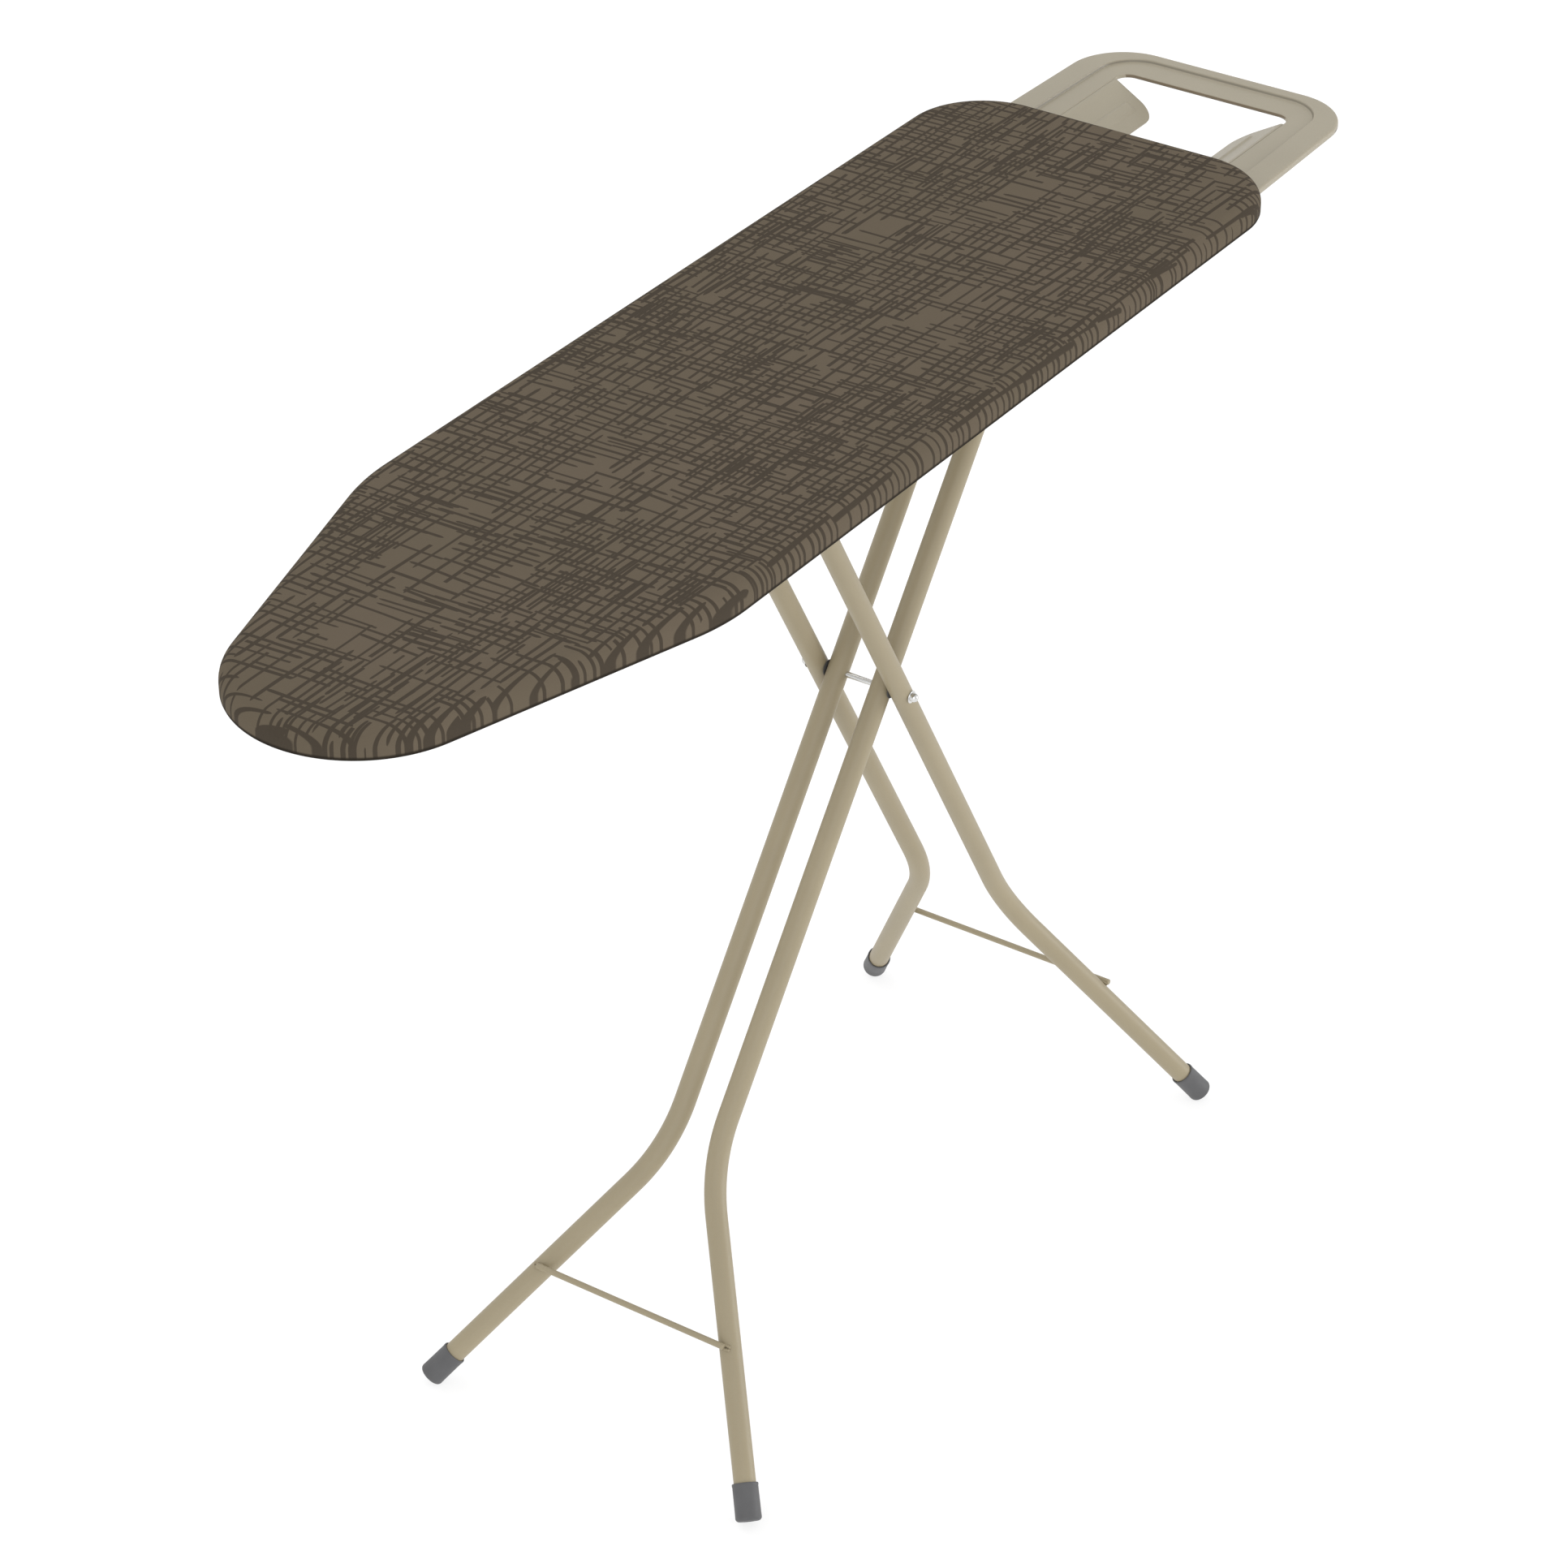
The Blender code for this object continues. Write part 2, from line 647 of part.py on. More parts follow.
def rest_outline(side_inset, rear_inset, corner_r):
    """A ring of the iron rest, counter-clockwise, set in from its sides and its rear edge."""
    half = REST_HALF_WIDTH - side_inset
    rear = REST_REAR_X - rear_inset
    front = REST_FRONT_X + side_inset
    front_r = max(REST_FRONT_R - side_inset, 0.002)
    swing = pi / 2 - REST_TAPER
    corner = (rear - corner_r, half - corner_r)
    left = arc(corner, corner_r, 0, swing, 7)
    widening = (left[-1][0] - front - front_r) * tan(REST_TAPER)
    front_corner = (front + front_r, left[-1][1] + widening - front_r)
    left += arc(front_corner, front_r, swing, pi, 3)
    return left + [(x, -y) for x, y in reversed(left)]


def window_outline():
    """The window in the rest's inner band, from the rear round to the front and back."""
    rear = (WINDOW_X[1] - WINDOW_R, WINDOW_HALF - WINDOW_R)
    left = arc(rear, WINDOW_R, 0, pi / 2, 4)
    left += [(FLAP_X[1], WINDOW_HALF), (FLAP_X[0], WINDOW_HALF), (WINDOW_X[0], WINDOW_HALF)]
    return left + [(x, -y) for x, y in reversed(left)]


def flap_outline():
    """The left flap's free edge, from the rear end of its fold to the front end."""
    corner = (FLAP_X[1] - FLAP_CORNER_R, FLAP_HALF + FLAP_CORNER_R)
    return arc(corner, FLAP_CORNER_R, 0, -pi / 2, 4) + [(FLAP_X[0], FLAP_HALF)]


def make_iron_rest():
    """One pressed sheet: a lip, a raised rim, a lower band round a window, and two sloping flaps."""
    bm = bmesh.new()
    band_z = REST_TOP_Z - REST_STEP
    levels = [
        (0.0, 0.0, REST_CORNER_R, REST_TOP_Z - REST_LIP),
        (0.0, 0.0, REST_CORNER_R, REST_TOP_Z - REST_EDGE_R),
        (REST_EDGE_R, REST_EDGE_R, REST_CORNER_R - REST_EDGE_R, REST_TOP_Z),
        (SIDE_BAND, REAR_BAND, STEP_CORNER_R, REST_TOP_Z),
        (SIDE_BAND + SIDE_STEP, REAR_BAND + REAR_STEP, STEP_CORNER_R - SIDE_STEP, band_z),
    ]
    rows = []
    for side_inset, rear_inset, corner_r, z in levels:
        ring = rest_outline(side_inset, rear_inset, corner_r)
        rows.append([bm.verts.new((x, y, z)) for x, y in ring])
    count = len(rows[0])
    for lower, upper in zip(rows, rows[1:]):
        for i in range(count):
            j = (i + 1) % count
            bm.faces.new((lower[i], lower[j], upper[j], upper[i]))
    window = [bm.verts.new((x, y, band_z)) for x, y in window_outline()]
    rim = rows[-1]
    edges = [bm.edges.get((rim[i], rim[(i + 1) % count])) for i in range(count)]
    total = len(window)
    edges += [bm.edges.new((window[i], window[(i + 1) % total])) for i in range(total)]
    bmesh.ops.triangle_fill(bm, use_beauty=True, edges=edges)
    half = total // 2
    folds = ((window[half - 3], window[half - 2], 1), (window[half + 2], window[half + 1], -1))
    for rear_end, front_end, side in folds:
        free = []
        for x, y in flap_outline():
            z = band_z - (WINDOW_HALF - y) * tan(FLAP_SLOPE)
            free.append(bm.verts.new((x, side * y, z)))
        bm.faces.new([rear_end] + free + [front_end])
    bmesh.ops.recalc_face_normals(bm, faces=bm.faces)
    rest = add_part("iron_rest", mesh_of(bm, "iron_rest"), "rest_coat")
    thicken(rest, REST_SHEET)
    for side in (1, -1):
        for y in REST_SCREW_Y:
            x = sum(SPACER_X) / 2
            low = (x, side * y, REST_TOP_Z - 0.006)
            bore(rest, low, (x, side * y, REST_TOP_Z + 0.003), SCREW_R + FIT, 12)
    return rest


def make_rest_spacer(name, side):
    edges = sorted((side * SPACER_Y[0], side * SPACER_Y[1]))
    low = (SPACER_X[0], edges[0], REST_TOP_Z + FIT)
    high = (SPACER_X[1], edges[1], RIB_BOTTOM_Z - FIT)
    spacer = add_part(name, box_mesh(name, low, high), "steel")
    for y in REST_SCREW_Y:
        x = sum(SPACER_X) / 2
        bore(spacer, (x, side * y, low[2] - 0.002), (x, side * y, high[2] + 0.002), SCREW_R + FIT, 12)


def make_screw(name, head_top, shank_top, x, y):
    """A pan head under the sheet and a shank up through it."""
    head_r = SCREW_R * 2.1
    head_h = 0.0020
    profile = [(0, shank_top - head_top), (SCREW_R, shank_top - head_top), (SCREW_R, 0), (head_r, 0)]
    profile += [(head_r, -head_h * 0.55), (head_r * 0.75, -head_h), (0, -head_h)]
    turned(name, profile, "steel", (x, y, head_top), (0, 0, 1), steps=10)


# Leg frames


def leg_frame_point(up, s, y):
    """A point on a leg frame: s metres below the crossing along the frame, y to the side."""
    point = PIVOT - up * s
    return Vector((point.x, y, point.z))


def foot_reach(up, bend_s, flare):
    """How far past the bend's corner a foot cap reaches, so that its edge meets the floor."""
    corner_z = leg_frame_point(up, bend_s, 0).z
    drop = up.z * cos(flare)
    across = sqrt(1 - drop * drop)
    height = corner_z - (FOOT_R - FOOT_CORNER_R) * across - FOOT_CORNER_R
    return FOOT_CORNER_R + height / drop


def leg_points(up, top_s, half_gap, bend_s, flare, bend_r, side):
    """The centre line of one leg: straight, a bend of bend_r, and straight out to the foot."""
    tangent = bend_r * tan(flare / 2)
    reach = foot_reach(up, bend_s, flare) - FOOT_FLOOR - FIT
    steps = 6
    flat = [(-top_s - TUBE_PAST_BAR, half_gap)]
    for i in range(steps + 1):
        angle = flare * i / steps
        s = bend_s - tangent + bend_r * sin(angle)
        flat.append((s, half_gap + bend_r * (1 - cos(angle))))
    flat.append((bend_s + reach * cos(flare), half_gap + reach * sin(flare)))
    return [leg_frame_point(up, s, side * y) for s, y in flat]


def make_leg(name, points, half_gap, pin_clearance):
    """A hollow tube with a cross hole for the pivot pin."""
    leg = swept(name, points, TUBE_R, "powder_coat", sides=TUBE_SIDES, caps=False)
    thicken(leg, TUBE_WALL)
    side = 1 if points[0].y > 0 else -1
    start = PIVOT + Vector((0, side * (half_gap - TUBE_R - 0.002), 0))
    end = PIVOT + Vector((0, side * (half_gap + TUBE_R + 0.002), 0))
    bore(leg, start, end, PIN_R + pin_clearance)
    return leg


def make_foot(name, up, half_gap, bend_s, flare, side):
    """A cup on the tube's end with a rounded rim that meets the floor."""
    corner = leg_frame_point(up, bend_s, side * half_gap)
    along = -up * cos(flare) + Vector((0, side * sin(flare), 0))
    end = corner + along * foot_reach(up, bend_s, flare)
    inner = TUBE_R + FIT
    profile = [(0, FOOT_FLOOR), (inner, FOOT_FLOOR), (inner, FOOT_LENGTH)]
    profile += [(FOOT_R - 0.0007, FOOT_LENGTH), (FOOT_R, FOOT_LENGTH - 0.0010)]
    centre = (FOOT_R - FOOT_CORNER_R, FOOT_CORNER_R)
    profile += arc(centre, FOOT_CORNER_R, 0, -pi / 2, 3)
    profile += [(0, 0)]
    return turned(name, profile, "plastic", end, -along)


def make_bar(name, centre, half, radius, material="steel", sides=16):
    start = centre - Vector((0, half, 0))
    end = centre + Vector((0, half, 0))
    return add_part(name, cylinder_mesh(name, start, end, radius, sides), material)


def make_ring(name, centre, y_range, inner, outer, material, steps=16):
    """A washer, clip or bush on a bar along Y."""
    low, high = sorted(y_range)
    width = high - low
    profile = [(inner, 0), (inner, width), (outer, width), (outer, 0)]
    place = (centre.x, low, centre.z)
    return turned(name, profile, material, place, (0, 1, 0), steps)


def make_pivot_nut(name, side):
    """A domed nut over the end of the pivot pin."""
    base = OUTER_HALF_GAP + TUBE_R + FIT
    inner = PIN_R + FIT
    depth = PIN_HALF + FIT - base
    outer = 0.0038
    dome = arc((0, 0.0022), outer, pi / 2, 0, 4)
    profile = [(0, dome[0][1])] + dome[1:]
    profile += [(outer, 0), (inner, 0), (inner, depth), (0, depth)]
    place = PIVOT + Vector((0, side * base, 0))
    return turned(name, profile, "steel", place, (0, side, 0))


def add_joint_empty(name, place, items):
    """An empty on a joint's axis that carries the pieces which turn about it."""
    empty = bpy.data.objects.new(name, None)
    empty.location = place
    PARTS.objects.link(empty)
    bpy.context.view_layer.update()
    for item in items:
        item.parent = empty
        item.matrix_parent_inverse = empty.matrix_world.inverted()


def make_board():
    make_cover()
    make_foam_pad()
    make_top_panel()
    make_rim_strip()
    rail_front_x = slide_bar_when(FOLD_ANGLE).x - RAIL_FRONT_MARGIN + RIB_WIDTH / 2
    rail_rear_x = LEVER_AXIS.x
    stations = {
        "rib_front": rail_front_x,
        "rib_centre": (rail_front_x + rail_rear_x) / 2,
        "rib_lever": rail_rear_x,
        "rib_hinge": HINGE_POINT.x,
        "rib_rear": sum(SPACER_X) / 2,
    }
    ribs = {name: make_rib(name, x) for name, x in stations.items()}
    screw_top = RIB_BOTTOM_Z + RIB_SHEET + SCREW_PAST
    bore_top = screw_top + BORE_PAST
    bore_bottom = RAIL_TOP_Z - RAIL_SHEET - 2 * BORE_PAST
    for side, word in ((1, "left"), (-1, "right")):
        rail = make_guide_rail(f"guide_rail_{word}", side)
        y = side * (RAIL_Y + RAIL_SCREW_OFF)
        for place, rib, x in (("front", "rib_front", rail_front_x), ("rear", "rib_lever", rail_rear_x)):
            low = (x, y, bore_bottom)
            high = (x, y, bore_top)
            bore(rail, low, high, SCREW_R + FIT, 12)
            bore(ribs[rib], low, high, SCREW_R + FIT, 12)
            make_screw(f"rail_screw_{place}_{word}", RAIL_TOP_Z - RAIL_SHEET - FIT, screw_top, x, y)
        bracket = make_hinge_bracket(f"hinge_bracket_{word}", side)
        y = side * (BRACKET_Y + BRACKET_SCREW_OFF)
        low = (HINGE_POINT.x, y, bore_bottom)
        high = (HINGE_POINT.x, y, bore_top)
        bore(bracket, low, high, SCREW_R + FIT, 12)
        bore(ribs["rib_hinge"], low, high, SCREW_R + FIT, 12)
        head_top = RAIL_TOP_Z - RAIL_SHEET - FIT
        make_screw(f"hinge_screw_{word}", head_top, screw_top, HINGE_POINT.x, y)
        make_rest_spacer(f"rest_spacer_{word}", side)
        for number, y in enumerate(REST_SCREW_Y, 1):
            x = sum(SPACER_X) / 2
            low = (x, side * y, RIB_BOTTOM_Z - 2 * BORE_PAST)
            bore(ribs["rib_rear"], low, (x, side * y, bore_top), SCREW_R + FIT, 12)
            head_top = REST_TOP_Z - REST_SHEET - FIT
            make_screw(f"rest_screw_{word}_{number}", head_top, screw_top, x, side * y)
    make_iron_rest()
    make_lever_bracket()
    make_lever_pin()
    make_lever_spring()
    make_release_lever()
    make_lever_grip()


def make_inner_legs():
    items = []
    for side, word in ((1, "left"), (-1, "right")):
        shape = (INNER_HALF_GAP, INNER_BEND_S, INNER_FLARE)
        points = leg_points(INNER_UP, INNER_TOP_S, *shape, INNER_BEND_R, side)
        items.append(make_leg(f"inner_leg_{word}", points, INNER_HALF_GAP, FIT))
        items.append(make_foot(f"inner_foot_{word}", INNER_UP, *shape, side))
        clip = (side * (BRACKET_Y + BRACKET_SHEET + FIT), side * (BRACKET_Y + BRACKET_SHEET + 0.003))
        items.append(make_ring(f"hinge_clip_{word}", HINGE_POINT, clip, BAR_R + FIT, 0.0065, "plastic"))
        items.append(make_pivot_nut(f"pivot_nut_{word}", side))
        washer = (side * (INNER_HALF_GAP + TUBE_R + FIT), side * (OUTER_HALF_GAP - TUBE_R - FIT))
        items.append(make_ring(f"pivot_washer_{word}", PIVOT, washer, PIN_R + FIT, 0.0070, "plastic"))
    items.append(make_bar("hinge_bar", HINGE_POINT, HINGE_BAR_HALF, BAR_R, sides=24))
    rod = leg_frame_point(INNER_UP, INNER_ROD_S, 0) + INNER_FACE * ROD_OFFSET
    items.append(make_bar("inner_stretcher", rod, INNER_ROD_HALF, ROD_R, "powder_coat", 12))
    items.append(make_bar("pivot_pin", PIVOT, PIN_HALF, PIN_R))
    add_joint_empty("leg_fold_axis", HINGE_POINT, items)


def make_outer_legs():
    items = []
    for side, word in ((1, "left"), (-1, "right")):
        shape = (OUTER_HALF_GAP, OUTER_BEND_S, OUTER_FLARE)
        points = leg_points(OUTER_UP, OUTER_TOP_S, *shape, OUTER_BEND_R, side)
        items.append(make_leg(f"outer_leg_{word}", points, OUTER_HALF_GAP, RUNNING))
        items.append(make_foot(f"outer_foot_{word}", OUTER_UP, *shape, side))
        bush = (side * (RAIL_Y - 0.0012), side * (RAIL_Y + RAIL_SHEET + 0.0012))
        items.append(make_ring(f"slide_bush_{word}", SLIDE_POINT, bush, BAR_R + FIT, BUSH_R, "nylon"))
        clip = (side * (RAIL_Y + RAIL_SHEET + 0.0016), side * (RAIL_Y + RAIL_SHEET + 0.0036))
        items.append(make_ring(f"slide_clip_{word}", SLIDE_POINT, clip, BAR_R + FIT, 0.0072, "plastic"))
    items.append(make_bar("slide_bar", SLIDE_POINT, SLIDE_BAR_HALF, BAR_R))
    rod = leg_frame_point(OUTER_UP, OUTER_ROD_S, 0) + OUTER_FACE * ROD_OFFSET
    items.append(make_bar("outer_stretcher", rod, OUTER_ROD_HALF, ROD_R, "powder_coat", 12))
    add_joint_empty("crossing_axis", PIVOT, items)


make_board()
make_inner_legs()
make_outer_legs()
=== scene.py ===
"""Folding ironing board: the looks of each piece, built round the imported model."""

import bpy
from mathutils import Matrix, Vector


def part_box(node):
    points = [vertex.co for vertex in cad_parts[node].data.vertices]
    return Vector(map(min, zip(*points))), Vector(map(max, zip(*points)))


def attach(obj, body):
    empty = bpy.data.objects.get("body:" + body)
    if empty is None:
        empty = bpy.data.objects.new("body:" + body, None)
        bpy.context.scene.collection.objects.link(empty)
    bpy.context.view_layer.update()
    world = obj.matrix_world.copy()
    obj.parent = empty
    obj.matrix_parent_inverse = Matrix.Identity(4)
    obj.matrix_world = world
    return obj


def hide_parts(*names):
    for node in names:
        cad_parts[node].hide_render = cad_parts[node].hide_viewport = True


bl_info = {
    "name": "Ironing Board",
    "version": (1, 0, 0),
    "blender": (4, 5, 0),
    "location": "View3D > Sidebar > Ironing Board",
    "description": "Adds a folding ironing board with a printed cover and a steel iron rest",
    "category": "Add Mesh",
}

from math import atan, cos, pi, radians, sin, sqrt, tan

import bmesh
import bpy
from bpy.props import FloatProperty, FloatVectorProperty, PointerProperty
from bpy.types import Operator, Panel, PropertyGroup
from mathutils import Matrix, Vector

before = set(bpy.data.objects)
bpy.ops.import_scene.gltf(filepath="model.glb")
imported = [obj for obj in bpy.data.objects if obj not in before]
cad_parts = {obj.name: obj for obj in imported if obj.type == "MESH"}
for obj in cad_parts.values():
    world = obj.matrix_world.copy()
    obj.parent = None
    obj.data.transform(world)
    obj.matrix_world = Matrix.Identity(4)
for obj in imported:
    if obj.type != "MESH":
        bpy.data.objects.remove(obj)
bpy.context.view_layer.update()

COVER_LOW, COVER_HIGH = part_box("cover")
PANEL_LOW, PANEL_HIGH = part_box("top_panel")
PAD_LOW, PAD_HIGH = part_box("foam_pad")
REST_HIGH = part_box("iron_rest")[1]
PIN_LOW, PIN_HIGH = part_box("pivot_pin")
HINGE_LOW, HINGE_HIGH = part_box("hinge_bar")
SLIDE_LOW, SLIDE_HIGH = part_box("slide_bar")

# Points nearer than this are one point
MERGE = 1e-6

# Board outline
HALF_WIDTH = COVER_HIGH.y
REAR_X = COVER_HIGH.x
NOSE_X = COVER_LOW.x
REAR_CORNER_R = 0.072
NOSE_R = 0.0976
TAPER = radians(16.4)
BEND_R = 0.180
EDGE_R = 0.0128
HEM_WIDTH = 0.035
CORNER_STEP = 0.0019
STRAIGHT_STEP = 0.009

# Cover
CORD_TUNNEL_R = 0.0016
HEM_INSETS = (0.0305, 0.028, 0.024, 0.0195, 0.015, 0.0105, 0.0065, 0.0035)
LOWER_EDGE = ((0.0016, 0.0002), (0.0005, 0.0009), (0.0, 0.0022), (0.0, 0.0050))
# Painted shade: the cover darkens in a band along its lower edge, where the hem's shadow falls
LOWER_EDGE_SHADE = 0.35
LOWER_EDGE_STARTS = (0.0002, 0.0007)
LOWER_EDGE_FADES = (0.0028, 0.0044)
LOWER_EDGE_SHARE = 0.95
GATHER_HEIGHT = 0.004
TOP_ROWS = 12
TOP_MARGIN = 0.0012
PLEAT_PITCH = 0.0115
PLEAT_HEIGHT = 0.0022
PLEAT_HEIGHT_STRAIGHT = 0.0002
TOP_CELL = 0.030
CLOTH_SHEET = 0.0009
CLOTH_SOFTNESS = 0.00018

# Panel
MESH_LONG_WAY = 0.0190
MESH_SHORT_WAY = 0.0105
MESH_STRAND = 0.0011
MESH_SHEET = 0.0004
MESH_INSET = 0.0205
BORDER_INSET = 0.0035
BORDER_R = 0.008
BORDER_SHEET = 0.0006
BORDER_REACH = 0.0215

# Legs
PIVOT = (PIN_LOW + PIN_HIGH) / 2
HINGE = (HINGE_LOW + HINGE_HIGH) / 2
SLIDE = (SLIDE_LOW + SLIDE_HIGH) / 2
TUBE_R = 0.009
TUBE_WALL = 0.0012
PAST_BAR = 0.009
FOOT_R = 0.0106
FOOT_LENGTH = 0.030
FOOT_CORNER_R = 0.003
ROD_R = 0.0025
BAR_R = 0.004
PIN_R = 0.0025
FIT_GAP = 0.0003
MOUTH_DEPTH = 0.030
NUT_R = 0.0038
NUT_BORE_R = 0.0026
NUT_SKIRT = 0.0022
ROD_WELD = {"pitch": 0.0013, "spread": 0.0016, "taper": 0.00012, "size": (0.0012, 0.0011, 0.0012)}
BAR_WELD = {"pitch": 0.0014, "spread": 0.0026, "taper": 0.0001, "size": (0.0014, 0.0012, 0.0014)}
INNER = {
    "angle": radians(53.09), "lean": 1, "gap": 0.0210, "bend": 0.4077, "flare": atan(0.553),
    "radius": 0.160, "rod": 0.5355, "rod_half": 0.092, "top": HINGE, "body": "inner_legs",
}
OUTER = {
    "angle": radians(60.36), "lean": -1, "gap": 0.0400, "bend": 0.3405, "flare": atan(0.5055),
    "radius": 0.170, "rod": 0.4633, "rod_half": 0.108, "top": SLIDE, "body": "outer_legs",
}

# Iron rest
REST_REAR_X = REST_HIGH.x
REST_FRONT_X = 0.3950
REST_HALF = 0.1250
REST_TAPER = radians(1.6)
REST_TOP_Z = REST_HIGH.z
REST_LIP = 0.0055
REST_SHEET = 0.0012
REST_STEP = 0.0026
REST_CORNER_R = 0.054
REST_FRONT_R = 0.026
REST_EDGE_R = 0.0024
SIDE_BAND = 0.0235
REAR_BAND = 0.0105
SIDE_STEP = 0.0020
REAR_STEP = 0.0065
WINDOW_X = (0.450, 0.6018)
WINDOW_HALF = 0.0815
WINDOW_R = 0.0125
FLAP_HALF = 0.0395
FLAP_SLOPE = radians(30.3)
FLAP_X = (0.458, 0.5872)
FLAP_CORNER_R = 0.016
FLAP_BEND = 0.0035
FLAP_BAR_STARTS = (0.0510, 0.0533)
FLAP_BAR_STOPS = (0.0595, 0.0618)
FLAP_BAR_ENDS = (0.5700, 0.5750)
FLAP_BAR_HEIGHT = 0.0015
FLAP_ROWS = (
    0.0, 0.0009, 0.0018, 0.0027, 0.0036, 0.0060, 0.0100, 0.0150, 0.0190, 0.0197, 0.0205, 0.0213,
    0.0221, 0.0229, 0.0245, 0.0265, 0.0280, 0.0283, 0.0291, 0.0299, 0.0305, 0.0315, 0.0345,
    0.0365, 0.0385, 0.0400, 0.0410, 0.0415, 0.0420,
)
WINDOW_LIP = ((0.0, 0.0018), (0.0001, 0.0010), (0.0004, 0.0004), (0.0010, 0.0), (0.0028, 0.0))
# Painted shade on the rest: a darker band at the foot of the step, and a dark brown on the turned
# edges below the band at the rear
GROOVE_FOOT = (0.0001, 0.0005)
GROOVE_HEAD = (0.0013, 0.0022)
GROOVE_SIDE_MARGIN = 0.012
GROOVE_REAR_MARGIN = 0.006
GROOVE_SHARE = 0.75
GROOVE_SHADE = 0.50
LIP_SHADE_SHARE = 0.9
LIP_SHADE_COLOUR = (0.150, 0.110, 0.065)

# Stage
CAMERA_PLACE = Vector((PIVOT.x - 2.686037, -1.731733, 2.503989))
SENSOR_WIDTH = 36.0
FLOOR_REACH = 20.0
LAMP_DISTANCE = 3.0
SKY_HEIGHT = 0.8
HORIZON_SHARE = 0.8

SIDES = ((1, "left"), (-1, "right"))
MATERIALS = {}


# Shape helpers


def smoothstep(low, high, value):
    """How far a value is from low to high, eased at both ends."""
    share = min(max((value - low) / (high - low), 0.0), 1.0)
    return share * share * (3 - 2 * share)


def axes_along(direction):
    """A rotation that takes local Z to a direction."""
    z_axis = Vector(direction).normalized()
    hint = Vector((0, 0, 1)) if abs(z_axis.z) < 0.99 else Vector((1, 0, 0))
    x_axis = hint.cross(z_axis).normalized()
    y_axis = z_axis.cross(x_axis)
    return Matrix((x_axis, y_axis, z_axis)).transposed().to_4x4()


def add_mapped_grid(bm, columns, rows, place):
    """A grid whose corner (i, j) is moved to place(i, j)."""
    made = bmesh.ops.create_grid(bm, x_segments=columns, y_segments=rows, size=1.0)
    for vert in made["verts"]:
        i = round((vert.co.x + 1) / 2 * columns)
        j = round((vert.co.y + 1) / 2 * rows)
        vert.co = place(i, j)
    return made["verts"]


def add_turned(bm, profile, place, direction, steps=40):
    """A profile of (radius, height) points spun about local Z and stood along a direction."""
    verts = [bm.verts.new((radius, 0, height)) for radius, height in profile]
    edges = [bm.edges.new(pair) for pair in zip(verts, verts[1:])]
    bmesh.ops.spin(
        bm, geom=verts + edges, cent=(0, 0, 0), axis=(0, 0, 1), angle=2 * pi, steps=steps,
        use_merge=True,
    )
    fresh = [v for v in bm.verts if not v.tag]
    matrix = Matrix.Translation(place) @ axes_along(direction)
    bmesh.ops.transform(bm, matrix=matrix, verts=fresh)
    bmesh.ops.remove_doubles(bm, verts=fresh, dist=MERGE)
    for vert in bm.verts:
        vert.tag = True


def add_tube(bm, path, radius, flat, sides=40):
    """A round tube along a path that stays in the plane whose normal is flat."""
    flat = Vector(flat).normalized()
    last = len(path) - 1
    tangents = []
    for k in range(last + 1):
        ahead = path[min(k + 1, last)]
        behind = path[max(k - 1, 0)]
        tangents.append((ahead - behind).normalized())

    def place(i, j):
        angle = 2 * pi * i / sides
        across = flat.cross(tangents[j])
        return path[j] + (across * cos(angle) + flat * sin(angle)) * radius

    add_mapped_grid(bm, sides, last, place)


def add_rod(bm, start, end, radius, sides=24, chamfer=0.0004):
    """A round rod with chamfered ends."""
    start = Vector(start)
    length = (Vector(end) - start).length
    profile = [
        (0, 0), (radius - chamfer, 0), (radius, chamfer), (radius, length - chamfer),
        (radius - chamfer, length), (0, length),
    ]
    add_turned(bm, profile, start, Vector(end) - start, sides)


def add_bead(bm, centre, size):
    """One rounded lump of weld."""
    made = bmesh.ops.create_uvsphere(bm, u_segments=12, v_segments=8, radius=1.0)
    bmesh.ops.transform(
        bm, matrix=Matrix.Translation(centre) @ Matrix.Diagonal((*size, 1.0)), verts=made["verts"]
    )
    for vert in made["verts"]:
        vert.tag = True


def add_weld(bm, spot, up, weld):
    """Two rows of beads along Y, one on each side of a joint."""
    for k in range(-3, 4):
        for edge in (1, -1):
            off = up * edge * (weld["spread"] - abs(k) * weld["taper"])
            add_bead(bm, spot + Vector((0, k * weld["pitch"], 0)) + off, weld["size"])


def add_wall(piece, name, thickness):
    """Give a sheet its thickness, inwards from its outer face."""
    wall = piece.modifiers.new(name, "SOLIDIFY")
    wall.thickness = thickness
    wall.offset = -1.0


def boundary_at(bm, height, dist):
    """The open edges that lie at one height."""
    return [
        e for e in bm.edges
        if e.is_boundary and all(abs(v.co.z - height) < dist for v in e.verts)
    ]


def arc_point(centre, radius, angle):
    """The point of a circle at an angle from X."""
    return centre + Vector((cos(angle), sin(angle))) * radius


def close_ring(left, z):
    """Half a ring and its mirror image, joined up at a height."""
    ring = left + [Vector((p.x, -p.y)) for p in reversed(left[:-1])]
    return [Vector((p.x, p.y, z)) for p in ring]


def finish_piece(name, bm, body, material, stands_for=(), sharp=40, merge=MERGE):
    """Close the mesh up, give it its finish, and let it ride on its body."""
    bmesh.ops.remove_doubles(bm, verts=bm.verts, dist=merge)
    bmesh.ops.recalc_face_normals(bm, faces=bm.faces)
    mesh = bpy.data.meshes.new(name)
    bm.to_mesh(mesh)
    bm.free()
    mesh.shade_smooth()
    mesh.set_sharp_from_angle(angle=radians(sharp))
    mesh.materials.append(MATERIALS[material])
    piece = bpy.data.objects.new(name, mesh)
    bpy.context.scene.collection.objects.link(piece)
    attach(piece, body)
    if stands_for:
        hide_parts(*stands_for)
    return piece


# Shader helpers


def feed(tree, socket, value):
    """Link a socket to another one, or set its value."""
    if isinstance(value, bpy.types.NodeSocket):
        tree.links.new(value, socket)
    elif value is not None:
        socket.default_value = value


